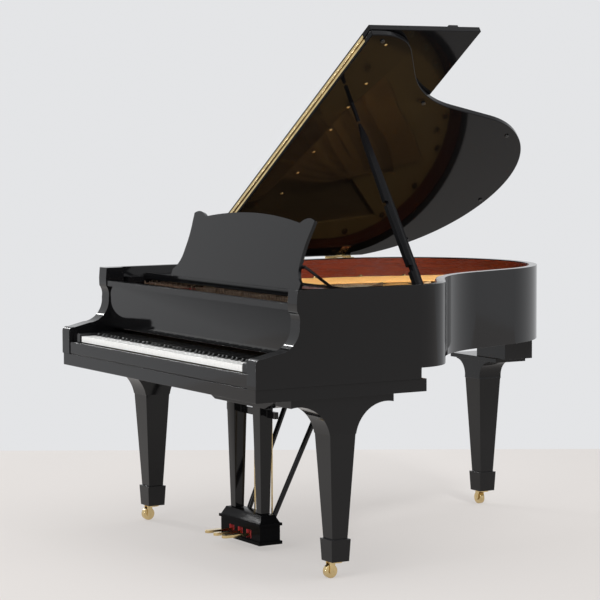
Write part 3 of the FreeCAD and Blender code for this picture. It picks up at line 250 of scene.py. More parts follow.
def tarnish_group():
    """Patches and fine scratches that dull a bright metal."""
    tree, given, out = group_tree(
        "metal_tarnish",
        [("Patch Scale", "NodeSocketFloat", 40.0), ("Base", "NodeSocketFloat", 0.14),
         ("Spread", "NodeSocketFloat", 0.2)],
        [("Patch", "NodeSocketFloat"), ("Roughness", "NodeSocketFloat"), ("Height", "NodeSocketFloat")])
    place = add(tree, "ShaderNodeTexCoord").outputs["Object"]
    patch = rescale(tree, noise(tree, place, given.outputs["Patch Scale"], 4.0, 0.6), 0.38, 0.72, 0.0, 1.0)
    rub = noise(tree, place, 420.0, 2.0)
    join(tree, patch, out.inputs["Patch"])
    worn = maths(tree, "MULTIPLY", maths(tree, "MULTIPLY_ADD", rub, 0.4, patch), given.outputs["Spread"])
    join(tree, maths(tree, "ADD", worn, given.outputs["Base"]), out.inputs["Roughness"])
    join(tree, rub, out.inputs["Height"])
    return tree


def fuzz_group():
    """Pressed wool: short fibres and soft mottling."""
    tree, given, out = group_tree(
        "felt_fuzz", [("Fibre Scale", "NodeSocketFloat", 700.0)],
        [("Mottle", "NodeSocketFloat"), ("Height", "NodeSocketFloat")])
    place = add(tree, "ShaderNodeTexCoord").outputs["Object"]
    fibre = noise(tree, place, given.outputs["Fibre Scale"], 4.0, 0.7)
    cloud = noise(tree, place, 60.0, 3.0)
    mottle = maths(tree, "MULTIPLY_ADD", fibre, 0.6, maths(tree, "MULTIPLY", cloud, 0.4))
    join(tree, mottle, out.inputs["Mottle"])
    join(tree, fibre, out.inputs["Height"])
    return tree


GROUPS = {}
FINISH = {}


def use_group(tree, name, **values):
    node = add(tree, "ShaderNodeGroup", node_tree=GROUPS[name])
    for label, value in values.items():
        node.inputs[label.replace("_", " ")].default_value = value
    return node


def start_finish(name):
    finish = bpy.data.materials.new(name)
    finish.use_nodes = True
    tree = finish.node_tree
    shader = next(n for n in tree.nodes if n.type == "BSDF_PRINCIPLED")
    FINISH[name] = finish
    return tree, shader


def raise_surface(tree, shader, height, strength, distance):
    bump = add(tree, "ShaderNodeBump")
    bump.inputs["Strength"].default_value = strength
    bump.inputs["Distance"].default_value = distance
    join(tree, height, bump.inputs["Height"])
    join(tree, bump.outputs["Normal"], shader.inputs["Normal"])


def lacquer_finish(name, colour, wave, haze, dust, ior):
    tree, shader = start_finish(name)
    skin = use_group(tree, "polish", Wave_Scale=wave, Haze=haze, Dust=dust)
    tinted = blend_colours(tree, skin.outputs["Tint"], colour, (0.32, 0.31, 0.3))
    join(tree, tinted, shader.inputs["Base Color"])
    join(tree, skin.outputs["Roughness"], shader.inputs["Roughness"])
    shader.inputs["IOR"].default_value = ior
    raise_surface(tree, shader, skin.outputs["Height"], 0.05, 0.002)


def wood_finish(name, dark, light, stretch, bands, gloss):
    tree, shader = start_finish(name)
    figure = use_group(tree, "grain", Stretch=stretch, Bands=bands)
    colour = blend_colours(tree, figure.outputs["Figure"], dark, light)
    deeper = tuple(c * 0.45 for c in dark)
    shade = maths(tree, "MULTIPLY", figure.outputs["Pores"], 0.55)
    join(tree, blend_colours(tree, shade, colour, deeper), shader.inputs["Base Color"])
    sheen = rescale(tree, figure.outputs["Figure"], 0.0, 1.0, gloss + 0.12, gloss)
    join(tree, sheen, shader.inputs["Roughness"])
    raise_surface(tree, shader, figure.outputs["Height"], 0.18, 0.0006)


def metal_finish(name, bright, dull, base, spread, patch):
    tree, shader = start_finish(name)
    worn = use_group(tree, "tarnish", Patch_Scale=patch, Base=base, Spread=spread)
    shade = maths(tree, "MULTIPLY", worn.outputs["Patch"], 0.7)
    join(tree, blend_colours(tree, shade, bright, dull), shader.inputs["Base Color"])
    join(tree, worn.outputs["Roughness"], shader.inputs["Roughness"])
    shader.inputs["Metallic"].default_value = 1.0
    raise_surface(tree, shader, worn.outputs["Height"], 0.08, 0.0004)


def felt_finish(name, deep, pale):
    tree, shader = start_finish(name)
    wool = use_group(tree, "fuzz", Fibre_Scale=700.0)
    join(tree, blend_colours(tree, wool.outputs["Mottle"], deep, pale), shader.inputs["Base Color"])
    join(tree, rescale(tree, wool.outputs["Mottle"], 0.0, 1.0, 0.98, 0.86), shader.inputs["Roughness"])
    shader.inputs["Sheen Weight"].default_value = 0.4
    raise_surface(tree, shader, wool.outputs["Height"], 0.5, 0.0008)


def object_axes(tree):
    parts = add(tree, "ShaderNodeSeparateXYZ")
    join(tree, add(tree, "ShaderNodeTexCoord").outputs["Object"], parts.inputs[0])
    return parts.outputs["X"], parts.outputs["Y"], parts.outputs["Z"]


def key_top_finish():
    """White covering on top and front; the maple along the sides of each key stick and behind the covering is
    painted near black, as shade between the keys and under the fallboard.
    """
    tree, shader = start_finish("key_white")
    _, y, z = object_axes(tree)
    skin = use_group(tree, "polish", Wave_Scale=24.0, Haze=0.12, Dust=0.0)
    figure = use_group(tree, "grain", Stretch=(14.0, 1.0, 14.0), Bands=50.0)
    ivory = blend_colours(tree, skin.outputs["Height"], (0.86, 0.86, 0.845), (0.9, 0.9, 0.885))
    # Painted shade: this wood is far darker than the maple finish, for the shade in the gaps between keys and
    # under the fallboard
    maple = blend_colours(tree, figure.outputs["Figure"], (0.03, 0.019, 0.01), (0.06, 0.04, 0.022))
    above = maths(tree, "GREATER_THAN", z, KEY_COVER_LOW)
    ahead = maths(tree, "LESS_THAN", y, KEY_FRONT_FACE)
    # Behind this line the key sticks get the painted shade of the wood
    visible = maths(tree, "LESS_THAN", y, KEY_COVER_BACK)
    covered = maths(tree, "MULTIPLY", maths(tree, "MAXIMUM", above, ahead), visible)
    join(tree, blend_colours(tree, covered, maple, ivory), shader.inputs["Base Color"])
    join(tree, rescale(tree, covered, 0.0, 1.0, 0.55, 0.16), shader.inputs["Roughness"])
    raise_surface(tree, shader, figure.outputs["Height"], 0.02, 0.0003)


def hammer_finish():
    """Wool head with a wooden core and shank."""
    tree, shader = start_finish("hammer_wool")
    z = object_axes(tree)[2]
    wool = use_group(tree, "fuzz", Fibre_Scale=600.0)
    figure = use_group(tree, "grain", Stretch=(14.0, 1.0, 14.0), Bands=60.0)
    felt = blend_colours(tree, wool.outputs["Mottle"], (0.66, 0.62, 0.53), (0.86, 0.83, 0.76))
    timber = blend_colours(tree, figure.outputs["Figure"], (0.36, 0.2, 0.09), (0.55, 0.36, 0.18))
    head = maths(tree, "GREATER_THAN", z, HAMMER_FELT_LOW)
    join(tree, blend_colours(tree, head, timber, felt), shader.inputs["Base Color"])
    join(tree, rescale(tree, wool.outputs["Mottle"], 0.0, 1.0, 0.95, 0.7), shader.inputs["Roughness"])
    raise_surface(tree, shader, wool.outputs["Height"], 0.3, 0.0006)


def damper_finish():
    """Black lacquered damper heads with white wool along the bottom."""
    tree, shader = start_finish("damper_head")
    x, _, z = object_axes(tree)
    wool = use_group(tree, "fuzz", Fibre_Scale=600.0)
    skin = use_group(tree, "polish", Wave_Scale=30.0, Haze=0.1, Dust=0.05)
    line = rescale(tree, maths(tree, "LESS_THAN", x, BASS_DAMPERS), 0.0, 1.0, *DAMPER_FELT_TOPS)
    below = maths(tree, "LESS_THAN", z, line)
    felt = blend_colours(tree, wool.outputs["Mottle"], (0.62, 0.58, 0.5), (0.82, 0.79, 0.72))
    black = blend_colours(tree, skin.outputs["Tint"], (0.006, 0.006, 0.006), (0.3, 0.3, 0.3))
    join(tree, blend_colours(tree, below, black, felt), shader.inputs["Base Color"])
    join(tree, rescale(tree, below, 0.0, 1.0, 0.12, 0.92), shader.inputs["Roughness"])


def winding_finish():
    """Bright wrapping in close turns along the string, with unwrapped wire ahead of it, painted dark brown as
    shade over the tuning-pin field.
    """
    tree, shader = start_finish("copper_winding")
    _, y, _ = object_axes(tree)
    worn = use_group(tree, "tarnish", Patch_Scale=14.0, Base=0.24, Spread=0.2)
    turns = maths(tree, "SINE", maths(tree, "MULTIPLY", y, 5200.0))
    wrap = blend_colours(tree, worn.outputs["Patch"], (0.95, 0.52, 0.17), (0.8, 0.42, 0.13))
    # Partly real, partly painted shade: the winding ends near the pin field, and the wire in front of it is
    # painted dark brown for the shade there
    shaded_bare_wire = rescale(tree, y, SHADED_PIN_FIELD[0], SHADED_PIN_FIELD[1] + 0.02, 1.0, 0.0)
    join(tree, blend_colours(tree, shaded_bare_wire, wrap, (0.1, 0.055, 0.03)), shader.inputs["Base Color"])
    join(tree, worn.outputs["Roughness"], shader.inputs["Roughness"])
    shader.inputs["Metallic"].default_value = 0.2
    raise_surface(tree, shader, turns, 0.6, 0.0005)


def plate_finish():
    """Bronze powder over fine-grained cast iron, with painted shade: dark brown over the tuning-pin field at
    the front.
    """
    tree, shader = start_finish("plate_bronze")
    place = add(tree, "ShaderNodeTexCoord").outputs["Object"]
    worn = use_group(tree, "tarnish", Patch_Scale=7.0, Base=0.36, Spread=0.12)
    sand = noise(tree, place, 380.0, 4.0, 0.6)
    gold = blend_colours(tree, worn.outputs["Patch"], (0.64, 0.39, 0.125), (0.57, 0.34, 0.1))
    gold = blend_colours(tree, rescale(tree, sand, 0.35, 0.65, 0.0, 0.3), gold, (0.47, 0.26, 0.075))
    depth = object_axes(tree)[1]
    # Painted shade: the plate turns dark brown in front of the pin field, where the desk and the lid flap
    # shade it
    pin_field_shade = rescale(tree, depth, SHADED_PIN_FIELD[0], SHADED_PIN_FIELD[1], 1.0, 0.0)
    join(tree, blend_colours(tree, pin_field_shade, gold, (0.13, 0.05, 0.014)), shader.inputs["Base Color"])
    join(tree, worn.outputs["Roughness"], shader.inputs["Roughness"])
    raise_surface(tree, shader, sand, 0.22, 0.0008)


# Mesh building


def new_piece(name, mesh, body, finish):
    piece = bpy.data.objects.new(name, mesh)
    bpy.context.scene.collection.objects.link(piece)
    if not mesh.materials:
        mesh.materials.append(FINISH[finish])
    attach(piece, body)
    return piece


def smooth_mesh(name, form):
    bmesh.ops.recalc_face_normals(form, faces=form.faces)
    for face in form.faces:
        face.smooth = True
    mesh = bpy.data.meshes.new(name)
    form.to_mesh(mesh)
    form.free()
    mesh.set_sharp_from_angle(angle=CREASE)
    return mesh


def rounded_bar(form, low, high, soft):
    """Adds a box from one corner to the other, in millimetres, with rounded edges."""
    a, b = spot(*low), spot(*high)
    made = bmesh.ops.create_cube(form, size=1.0)
    for vert in made["verts"]:
        vert.co = Vector([a[i] + (b[i] - a[i]) * (vert.co[i] + 0.5) for i in range(3)])
    edges = list({edge for vert in made["verts"] for edge in vert.link_edges})
    bmesh.ops.bevel(form, geom=edges, offset=soft / 1000.0, segments=2, profile=0.5, affect="EDGES")


def bars_piece(name, bars, soft, body, finish):
    form = bmesh.new()
    for low, high in bars:
        rounded_bar(form, low, high, soft)
    new_piece(name, smooth_mesh(name, form), body, finish)


def soften_node(name, width, finish, segments=2):
    """A copy of a CAD node with its triangles joined and its edges rounded."""
    form = bmesh.new()
    form.from_mesh(NODES[name].data)
    bmesh.ops.remove_doubles(form, verts=form.verts, dist=0.00001)
    bmesh.ops.dissolve_limit(form, angle_limit=math.radians(0.4), verts=form.verts, edges=form.edges)
    for face in form.faces:
        face.smooth = True
    mesh = bpy.data.meshes.new(name + "_rounded")
    form.to_mesh(mesh)
    form.free()
    mesh.set_sharp_from_angle(angle=NODE_CREASE)
    piece = new_piece(name + "_rounded", mesh, BODY_OF[name], finish)
    edge = piece.modifiers.new("rounding", "BEVEL")
    edge.width = width / 1000.0
    edge.segments = segments
    edge.limit_method = "ANGLE"
    edge.angle_limit = ROUNDED_FROM
    edge.harden_normals = True
    edge.use_clamp_overlap = True
    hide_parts(name)


def stud_tree():
    """Heads set on points: a low cone on a flange, turned along the points' facing."""
    tree = bpy.data.node_groups.new("stud_row", "GeometryNodeTree")
    tree.interface.new_socket("Points", in_out="INPUT", socket_type="NodeSocketGeometry")
    for label in ("Radius", "Height", "Flange"):
        tree.interface.new_socket(label, in_out="INPUT", socket_type="NodeSocketFloat")
    tree.interface.new_socket("Sides", in_out="INPUT", socket_type="NodeSocketInt")
    tree.interface.new_socket("Finish", in_out="INPUT", socket_type="NodeSocketMaterial")
    tree.interface.new_socket("Studs", in_out="OUTPUT", socket_type="NodeSocketGeometry")
    given, out = tree.nodes.new("NodeGroupInput"), tree.nodes.new("NodeGroupOutput")
    head = add(tree, "GeometryNodeMeshCone")
    rim = add(tree, "GeometryNodeMeshCylinder")
    top = maths(tree, "MULTIPLY", given.outputs["Radius"], 0.72)
    join(tree, given.outputs["Sides"], head.inputs["Vertices"])
    join(tree, given.outputs["Radius"], head.inputs["Radius Bottom"])
    join(tree, top, head.inputs["Radius Top"])
    join(tree, given.outputs["Height"], head.inputs["Depth"])
    join(tree, given.outputs["Sides"], rim.inputs["Vertices"])
    join(tree, given.outputs["Flange"], rim.inputs["Radius"])
    quarter = maths(tree, "MULTIPLY", given.outputs["Height"], 0.25)
    join(tree, quarter, rim.inputs["Depth"])
    both = add(tree, "GeometryNodeJoinGeometry")
    join(tree, head.outputs["Mesh"], both.inputs[0])
    join(tree, rim.outputs["Mesh"], both.inputs[0])
    way = add(tree, "GeometryNodeInputNamedAttribute", data_type="FLOAT_VECTOR")
    way.inputs["Name"].default_value = "facing"
    aim = add(tree, "FunctionNodeAlignRotationToVector", axis="Z")
    join(tree, way.outputs["Attribute"], aim.inputs["Vector"])
    spread = add(tree, "GeometryNodeInstanceOnPoints")
    join(tree, given.outputs["Points"], spread.inputs["Points"])
    join(tree, both.outputs[0], spread.inputs["Instance"])
    join(tree, aim.outputs[0], spread.inputs["Rotation"])
    real = add(tree, "GeometryNodeRealizeInstances")
    join(tree, spread.outputs[0], real.inputs[0])
    coat = add(tree, "GeometryNodeSetMaterial")
    join(tree, real.outputs[0], coat.inputs["Geometry"])
    join(tree, given.outputs["Finish"], coat.inputs["Material"])
    join(tree, coat.outputs[0], out.inputs[0])
    return tree


def stud_row(name, body, places, facing, finish, radius, height, flange, sides):
    """One mesh of like studs, set at places with their feet on the surface."""
    seed = bpy.data.meshes.new(name + "_points")
    seed.from_pydata([tuple(p) for p in places], [], [])
    attribute = seed.attributes.new("facing", "FLOAT_VECTOR", "POINT")
    for index in range(len(places)):
        attribute.data[index].vector = facing
    holder = bpy.data.objects.new(name + "_holder", seed)
    bpy.context.scene.collection.objects.link(holder)
    tree = bpy.data.node_groups.get("stud_row") or stud_tree()
    spread = holder.modifiers.new("studs", "NODES")
    spread.node_group = tree
    values = {"Radius": radius / 1000.0, "Height": height / 1000.0, "Flange": flange / 1000.0, "Sides": sides,
              "Finish": FINISH[finish]}
    for item in tree.interface.items_tree:
        if item.in_out == "INPUT" and item.name in values:
            spread[item.identifier] = values[item.name]
    settled = bpy.context.evaluated_depsgraph_get()
    mesh = bpy.data.meshes.new_from_object(holder.evaluated_get(settled))
    mesh.name = name
    bpy.data.objects.remove(holder)
    for polygon in mesh.polygons:
        polygon.use_smooth = True
    mesh.set_sharp_from_angle(angle=CREASE)
    new_piece(name, mesh, body, finish)


def paint(names, finish):
    for name in names:
        data = NODES[name].data
        data.materials.clear()
        data.materials.append(FINISH[finish])


# Settings


class PianoFinishes(bpy.types.PropertyGroup):
    lacquer: bpy.props.FloatVectorProperty(
        name="Lacquer", description="Colour of the case lacquer", subtype="COLOR", size=3,
        default=(0.0045, 0.0045, 0.005))
    lacquer_ior: bpy.props.FloatProperty(
        name="Lacquer index", description="Refractive index that sets how strongly the lacquer mirrors",
        default=1.36)
    lid_ior: bpy.props.FloatProperty(
        name="Lid index", description="Refractive index of the lacquer on the lid", default=1.16)
    satin_ior: bpy.props.FloatProperty(
        name="Satin index", description="Refractive index of the rubbed lacquer on props and pedal box",
        default=1.08)
    mahogany_dark: bpy.props.FloatVectorProperty(
        name="Mahogany, dark", description="Dark figure of the inner rim", subtype="COLOR", size=3,
        default=(0.08, 0.0095, 0.0035))
    mahogany_light: bpy.props.FloatVectorProperty(
        name="Mahogany, light", description="Light figure of the inner rim", subtype="COLOR", size=3,
        default=(0.2, 0.032, 0.012))
    brass: bpy.props.FloatVectorProperty(
        name="Brass", description="Colour of polished brass", subtype="COLOR", size=3,
        default=(0.74, 0.57, 0.29))
    felt: bpy.props.FloatVectorProperty(
        name="Red felt", description="Colour of the felts at keys and pedals", subtype="COLOR", size=3,
        default=(0.36, 0.012, 0.014))


class PianoSizes(bpy.types.PropertyGroup):
    case_edge: bpy.props.FloatProperty(
        name="Case edge", description="Rounding of the case edges in millimetres", default=5.0)
    leg_edge: bpy.props.FloatProperty(
        name="Leg edge", description="Rounding of leg and lyre edges in millimetres", default=2.5)
    key_edge: bpy.props.FloatProperty(
        name="Key edge", description="Rounding of key edges in millimetres", default=0.9)
    bolt_radius: bpy.props.FloatProperty(
        name="Plate bolt", description="Radius of the plate bolts in millimetres", default=9.0)


class PianoStudio(bpy.types.PropertyGroup):
    wall: bpy.props.FloatVectorProperty(
        name="Backdrop", description="Colour behind the piano", subtype="COLOR", size=3,
        default=(0.775, 0.782, 0.797))
    floor: bpy.props.FloatVectorProperty(
        name="Floor", description="Colour of the floor", subtype="COLOR", size=3,
        default=(0.67, 0.643, 0.625))
    floor_glow: bpy.props.FloatProperty(
        name="Floor glow", description="Share of the floor's own even tone in its look", default=0.62)
    fill: bpy.props.FloatProperty(
        name="Fill light", description="Strength of the even light from all round", default=0.78)
    lens: bpy.props.FloatProperty(
        name="Lens", description="Focal length on a 36 mm sensor, in millimetres", default=138.0)


# Operators


class PIANO_OT_finishes(bpy.types.Operator):
    """Makes the shared effects and every finish"""
    bl_idname = "piano.finishes"
    bl_label = "Finishes"

    def execute(self, context):
        look = context.scene.piano_finishes
        GROUPS.update(polish=polish_group(), grain=grain_group(), tarnish=tarnish_group(), fuzz=fuzz_group())
        black = tuple(look.lacquer)
        lacquer_finish("black_polish", black, wave=8.0, haze=0.05, dust=0.02, ior=look.lacquer_ior)
        lacquer_finish("lid_polish", black, wave=5.0, haze=0.06, dust=0.03, ior=look.lid_ior)
        lacquer_finish("leg_polish", black, wave=14.0, haze=0.08, dust=0.03, ior=look.lacquer_ior)
        lacquer_finish("prop_satin", black, wave=20.0, haze=0.3, dust=0.0, ior=look.satin_ior)
        lacquer_finish("key_black", (0.006, 0.006, 0.006), wave=40.0, haze=0.3, dust=0.0, ior=1.45)
        lacquer_finish("rubber_black", (0.014, 0.014, 0.014), wave=90.0, haze=0.9, dust=0.2, ior=1.4)
        wood_finish("mahogany", tuple(look.mahogany_dark), tuple(look.mahogany_light),
                    stretch=(1.2, 1.2, 14.0), bands=24.0, gloss=0.2)
        wood_finish("spruce", (0.27, 0.16, 0.065), (0.37, 0.24, 0.11),
                    stretch=(18.0, 1.0, 18.0), bands=12.0, gloss=0.34)
        wood_finish("maple", (0.42, 0.26, 0.12), (0.58, 0.41, 0.22),
                    stretch=(1.0, 8.0, 8.0), bands=30.0, gloss=0.42)
        metal_finish("brass_polish", tuple(look.brass), tuple(c * 0.66 for c in look.brass),
                     base=0.1, spread=0.14, patch=30.0)
        metal_finish("steel_wire", (0.72, 0.6, 0.42), (0.5, 0.41, 0.28), base=0.2, spread=0.16, patch=20.0)
        metal_finish("pin_steel", (0.2, 0.15, 0.11), (0.1, 0.07, 0.05), base=0.26, spread=0.2, patch=60.0)
        felt_finish("felt_red", tuple(look.felt), tuple(min(1.0, c * 1.7 + 0.01) for c in look.felt))
        # Painted shade: a near-black copy of the red felt, for the key felt lying in shade under the
        # fallboard
        felt_finish("felt_red_shaded", tuple(c * 0.12 for c in look.felt), tuple(c * 0.2 for c in look.felt))
        key_top_finish()
        hammer_finish()
        damper_finish()
        winding_finish()
        plate_finish()
        return {"FINISHED"}


class PIANO_OT_case(bpy.types.Operator):
    """Rounds and lacquers the case, keybed, stretcher and key blocks, and finishes its inside"""
    bl_idname = "piano.case"
    bl_label = "Case"

    def execute(self, context):
        edge = context.scene.piano_sizes.case_edge
        soften_node("outer_rim", edge, "black_polish", segments=3)
        for name, share in (("keybed", 0.2), ("key_slip", 0.8), ("key_blocks", 0.6)):
            soften_node(name, edge * share, "black_polish")
        paint(("stretcher",), "black_polish")
        paint(("inner_rim",), "mahogany")
        paint(("case_beams", "soundboard"), "spruce")
        paint(("bridges", "pin_block"), "maple")
        return {"FINISHED"}


class PIANO_OT_lid(bpy.types.Operator):
    """Rounds and lacquers the lid, its flap and the props, with brass hinges and screws"""
    bl_idname = "piano.lid"
    bl_label = "Lid"

    def execute(self, context):
        edge = context.scene.piano_sizes.case_edge
        soften_node("lid_panel", edge * 0.6, "lid_polish", segments=3)
        soften_node("lid_flap", edge * 0.6, "lid_polish", segments=3)
        soften_node("lid_prop", 2.0, "prop_satin")
        soften_node("short_prop", 1.5, "prop_satin")
        paint(("lid_fittings", "flap_hinge_leaf_lid", "flap_hinge_leaf_flap", "rim_fittings"), "brass_polish")
        paint(("lid_bumpers",), "rubber_black")
        down = lid_way((0, 0, -1))
        plug_row, corner_plug = 732, (700, 690)
        plug_places = [(x, plug_row) for x in (468, 321, 177, 32, -109, -252)] + [corner_plug]
        plugs = [on_lid(x, y, LID_UNDERSIDE) for x, y in plug_places]
        stud_row("lid_plugs", "lid", plugs, down, "brass_polish",
                 radius=5.0, height=2.2, flange=6.0, sides=14)
        screws = [on_lid(x, middle + y, HINGE_LEAF_FACE) for middle in HINGE_MIDDLES
                  for x in (-728, -700, -672) for y in (-12, 12)]
        stud_row("lid_hinge_screws", "lid", screws, down, "brass_polish",
                 radius=3.0, height=0.8, flange=3.6, sides=12)
        return {"FINISHED"}


class PIANO_OT_action(bpy.types.Operator):
    """Finishes keys, key felt, hammers, dampers and fallboard"""
    bl_idname = "piano.action"
    bl_label = "Keys and action"

    def execute(self, context):
        edge = context.scene.piano_sizes.key_edge
        for letter in "abcdefg":
            soften_node(f"keys_{letter}_natural", edge, "key_white")
        for letter in "cdfga":
            soften_node(f"keys_{letter}_sharp", edge * 1.3, "key_black")
        paint(("key_frame",), "maple")
        paint(("hammers",), "hammer_wool")
        paint(("dampers",), "damper_head")
        felt_low, felt_high = (-KEYS_HALF_WIDE, 171.4, 733.3), (KEYS_HALF_WIDE, 180.0, 735.6)
        # Painted shade: the key felt takes the shaded copy of the red felt
        bars_piece("key_felt", [(felt_low, felt_high)], 0.6, "case", "felt_red_shaded")
        soften_node("fallboard", 5.0, "black_polish", segments=4)
        return {"FINISHED"}


class PIANO_OT_desk(bpy.types.Operator):
    """Rounds and lacquers the music desk, its tray and struts"""
    bl_idname = "piano.desk"
    bl_label = "Music desk"

    def execute(self, context):
        edge = context.scene.piano_sizes.case_edge
        soften_node("music_desk", edge * 0.8, "black_polish", segments=3)
        soften_node("desk_tray", edge * 0.5, "black_polish")
        soften_node("desk_strut", 1.0, "leg_polish")
        return {"FINISHED"}


class PIANO_OT_strings(bpy.types.Operator):
    """Finishes plate, strings and pins, with agraffes, hitch pins, bolts and stringing cloth"""
    bl_idname = "piano.strings"
    bl_label = "Plate and strings"

    def execute(self, context):
        paint(("iron_plate",), "plate_bronze")
        paint(("plain_strings",), "steel_wire")
        paint(("wound_strings",), "copper_winding")
        paint(("tuning_pins",), "pin_steel")
        up = (0, 0, 1)
        agraffe_line = STRIKE - 8
        heads = [spot(plain_string(note)[0][0], agraffe_line, PLATE_TOP + 4) for note in PLAIN_NOTES]
        stud_row("treble_agraffes", "case", heads, up, "brass_polish",
                 radius=4.6, height=8.0, flange=5.4, sides=8)
        low_heads = [spot(wound_string(note)[0][0], agraffe_line, PLATE_TOP + 6) for note in WOUND_NOTES]
        stud_row("bass_agraffes", "case", low_heads, up, "brass_polish",
                 radius=4.6, height=12.0, flange=5.4, sides=8)
        ends = []
        for note in PLAIN_NOTES:
            x, y = plain_string(note)[1]
            ends += [spot(x + shift, y + 2.5, PLATE_TOP + 5.5) for shift in (-4.0, 0.0, 4.0)]
        for note in WOUND_NOTES:
            x, y = wound_string(note)[1]
            ends.append(spot(x, y + 4, PLATE_TOP + 9))
        stud_row("hitch_pins", "case", ends, up, "pin_steel",
                 radius=1.7, height=12.0, flange=1.9, sides=6)
        radius = context.scene.piano_sizes.bolt_radius
        bolts = [(676, 590), (672, 678), (643, 731), (441, 872), (365, 943), (302, 1027), (254, 1119),
                 (146, 1437), (93, 1522), (20, 1590), (-67, 1638), (-163, 1663), (-303, 1657),
                 (-470, 1588), (-598, 1460), (-667, 1294), (-676, 1080), (-676, 900), (-676, 720),
                 (-676, 560)]
        bolt_feet = [spot(x, y, PLATE_TOP + 3) for x, y in bolts]
        stud_row("plate_bolts", "case", bolt_feet, up, "brass_polish",
                 radius=radius, height=6.0, flange=radius * 1.5, sides=12)
        near, far, foot = 377, 392, PLATE_TOP + 0.2
        cloth = [((-610, near, foot), (-262, far, PLATE_TOP + 8)),
                 ((-226, near, foot), (600, far, PLATE_TOP + 6))]
        bars_piece("stringing_cloth", cloth, 2.0, "case", "felt_red")
        return {"FINISHED"}


class PIANO_OT_stand(bpy.types.Operator):
    """Rounds and lacquers legs and lyre, polishes pedals and casters, adds the pedal felts"""
    bl_idname = "piano.stand"
    bl_label = "Legs and lyre"

    def execute(self, context):
        edge = context.scene.piano_sizes.leg_edge
        for name in ("bass_front_leg", "treble_front_leg", "tail_leg"):
            soften_node(name, edge, "leg_polish", segments=3)
        soften_node("lyre_frame", edge * 0.8, "leg_polish")
        soften_node("pedal_box", edge * 0.6, "prop_satin")
        paint(("lyre_braces",), "leg_polish")
        for pedal in ("shift", "sostenuto", "damper"):
            soften_node(f"{pedal}_pedal", 2.2, "brass_polish", segments=3)
            paint((f"{pedal}_pedal_rod",), "brass_polish")
        for leg in ("bass_front", "treble_front", "tail"):
            soften_node(f"{leg}_caster_wheel", 2.5, "brass_polish", segments=3)
            soften_node(f"{leg}_caster_fork", 0.8, "brass_polish")
        inner, outer = 13.9, 16.2
        near, far, low, high = 353.8, 372, 39, 69
        felts = []
        for x in (-PEDAL_PITCH, 0.0, PEDAL_PITCH):
            felts.append(((x - outer, near, low), (x - inner, far, high)))
            felts.append(((x + inner, near, low), (x + outer, far, high)))
        bars_piece("pedal_felts", felts, 0.7, "case", "felt_red")
        return {"FINISHED"}


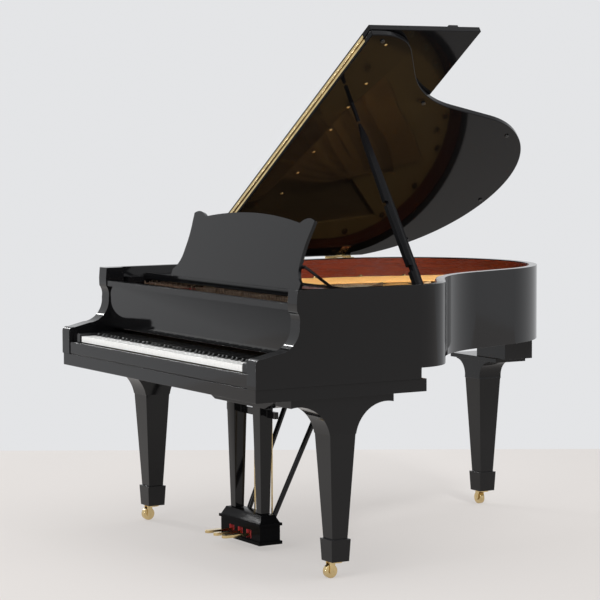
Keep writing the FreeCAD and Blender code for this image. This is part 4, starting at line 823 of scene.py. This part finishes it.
class PIANO_OT_studio(bpy.types.Operator):
    """Sets the floor, backdrop, lamps and camera"""
    bl_idname = "piano.studio"
    bl_label = "Studio"

    def execute(self, context):
        scene = context.scene
        room = scene.piano_studio
        scene.view_settings.view_transform = "Standard"
        self.sky(scene, room)
        self.ground(scene, room)
        self.lamps(scene)
        self.camera(scene, room)
        return {"FINISHED"}

    def sky(self, scene, room):
        world = bpy.data.worlds.new("studio")
        world.use_nodes = True
        scene.world = world
        tree = world.node_tree
        tree.nodes.clear()
        seen = seen_directly(tree)
        light = add(tree, "ShaderNodeBackground")
        light.inputs["Color"].default_value = (1.0, 1.0, 1.0, 1.0)
        light.inputs["Strength"].default_value = room.fill
        wall = add(tree, "ShaderNodeBackground")
        wall.inputs["Color"].default_value = (*room.wall, 1.0)
        mix = add(tree, "ShaderNodeMixShader")
        join(tree, seen, mix.inputs[0])
        join(tree, light.outputs[0], mix.inputs[1])
        join(tree, wall.outputs[0], mix.inputs[2])
        join(tree, mix.outputs[0], add(tree, "ShaderNodeOutputWorld").inputs["Surface"])

    def ground(self, scene, room):
        tree, shader = start_finish("studio_floor")
        place = add(tree, "ShaderNodeTexCoord").outputs["Object"]
        cloud = noise(tree, place, 1.2, 3.0)
        pale = tuple(room.floor)
        drift = rescale(tree, cloud, 0.3, 0.7, 0.0, 1.0)
        tone = blend_colours(tree, drift, pale, tuple(c * 1.02 for c in pale))
        join(tree, tone, shader.inputs["Base Color"])
        shader.inputs["Roughness"].default_value = 0.9
        shader.inputs["Specular IOR Level"].default_value = 0.1
        seen = seen_directly(tree)
        glow = add(tree, "ShaderNodeEmission")
        glow.inputs["Color"].default_value = (*(c * 1.1 for c in pale), 1.0)
        blend = add(tree, "ShaderNodeMixShader")
        join(tree, maths(tree, "MULTIPLY", seen, room.floor_glow), blend.inputs[0])
        join(tree, shader.outputs[0], blend.inputs[1])
        join(tree, glow.outputs[0], blend.inputs[2])
        output = next(n for n in tree.nodes if n.type == "OUTPUT_MATERIAL")
        join(tree, blend.outputs[0], output.inputs["Surface"])
        far_middle = Vector((-1.981, 0.924, 0.0))
        half_wide = Vector((0.5137, 0.858, 0.0)) * 14
        deep = Vector((0.8580, -0.5137, 0.0)) * 16
        left, right = far_middle - half_wide, far_middle + half_wide
        corners = [left, right, right + deep, left + deep]
        mesh = bpy.data.meshes.new("floor")
        mesh.from_pydata([tuple(c) for c in reversed(corners)], [], [(0, 1, 2, 3)])
        mesh.materials.append(FINISH["studio_floor"])
        floor = bpy.data.objects.new("floor", mesh)
        scene.collection.objects.link(floor)

    def lamps(self, scene):
        middle, well = Vector((0, 0, 0.7)), Vector((-0.3, 0.3, 0.93))
        # Name, place, aim, width, height, power and spread in degrees
        rows = (
            ("softbox_front", (2.5, -4.5, 4.6), middle, 4.0, 4.0, 105.0, 180.0),
            ("softbox_top", (0.5, 0.5, 5.5), middle, 5.0, 5.0, 110.0, 180.0),
            ("strip_bass", (-4.6, -1.2, 3.4), middle, 0.14, 3.6, 26.0, 120.0),
            ("strip_front", (1.6, -6.2, 1.35), middle, 0.12, 2.6, 22.0, 120.0),
            ("well_light", (2.6, 0.1, 3.0), well, 0.6, 0.4, 7.0, 42.0))
        for name, place, aim, wide, tall, power, spread in rows:
            data = bpy.data.lights.new(name, "AREA")
            data.shape = "RECTANGLE"
            data.energy = power
            data.size, data.size_y = wide, tall
            data.spread = math.radians(spread)
            lamp = bpy.data.objects.new(name, data)
            lamp.location = place
            lamp.rotation_euler = (aim - Vector(place)).to_track_quat("-Z", "Y").to_euler()
            scene.collection.objects.link(lamp)

    def camera(self, scene, room):
        data = bpy.data.cameras.new("photo_camera")
        data.sensor_width = 36.0
        data.lens = room.lens
        data.clip_end = 60.0
        camera = bpy.data.objects.new("photo_camera", data)
        right = Vector((0.51368, 0.85797, -0.00308))
        up = Vector((-0.06475, 0.04234, 0.99700))
        ahead = Vector((-0.85553, 0.51195, -0.07730))
        turn = Matrix((right, up, -ahead)).transposed()
        place = spot(7178.8, -3686.4, 1530.6)
        camera.matrix_world = Matrix.Translation(place) @ turn.to_4x4()
        scene.collection.objects.link(camera)
        scene.camera = camera


class PIANO_PT_dresser(bpy.types.Panel):
    """Shows the settings, and the operators in the order they run"""
    bl_idname = "PIANO_PT_dresser"
    bl_label = "Piano"
    bl_space_type = "VIEW_3D"
    bl_region_type = "UI"
    bl_category = "Piano"

    def draw(self, context):
        for group in (context.scene.piano_finishes, context.scene.piano_sizes, context.scene.piano_studio):
            for key in group.bl_rna.properties.keys():
                if key not in ("rna_type", "name"):
                    self.layout.prop(group, key)
        for step in STEPS:
            self.layout.operator(step.bl_idname)


STEPS = (PIANO_OT_finishes, PIANO_OT_case, PIANO_OT_lid, PIANO_OT_action, PIANO_OT_desk, PIANO_OT_strings,
         PIANO_OT_stand, PIANO_OT_studio)
CLASSES = (PianoFinishes, PianoSizes, PianoStudio) + STEPS + (PIANO_PT_dresser,)


def register():
    for item in CLASSES:
        bpy.utils.register_class(item)
    bpy.types.Scene.piano_finishes = bpy.props.PointerProperty(type=PianoFinishes)
    bpy.types.Scene.piano_sizes = bpy.props.PointerProperty(type=PianoSizes)
    bpy.types.Scene.piano_studio = bpy.props.PointerProperty(type=PianoStudio)


def unregister():
    for key in ("piano_finishes", "piano_sizes", "piano_studio"):
        delattr(bpy.types.Scene, key)
    for item in reversed(CLASSES):
        bpy.utils.unregister_class(item)


def main():
    register()
    bpy.ops.piano.finishes()
    bpy.ops.piano.case()
    bpy.ops.piano.lid()
    bpy.ops.piano.action()
    bpy.ops.piano.desk()
    bpy.ops.piano.strings()
    bpy.ops.piano.stand()
    bpy.ops.piano.studio()


if __name__ == "__main__":
    main()
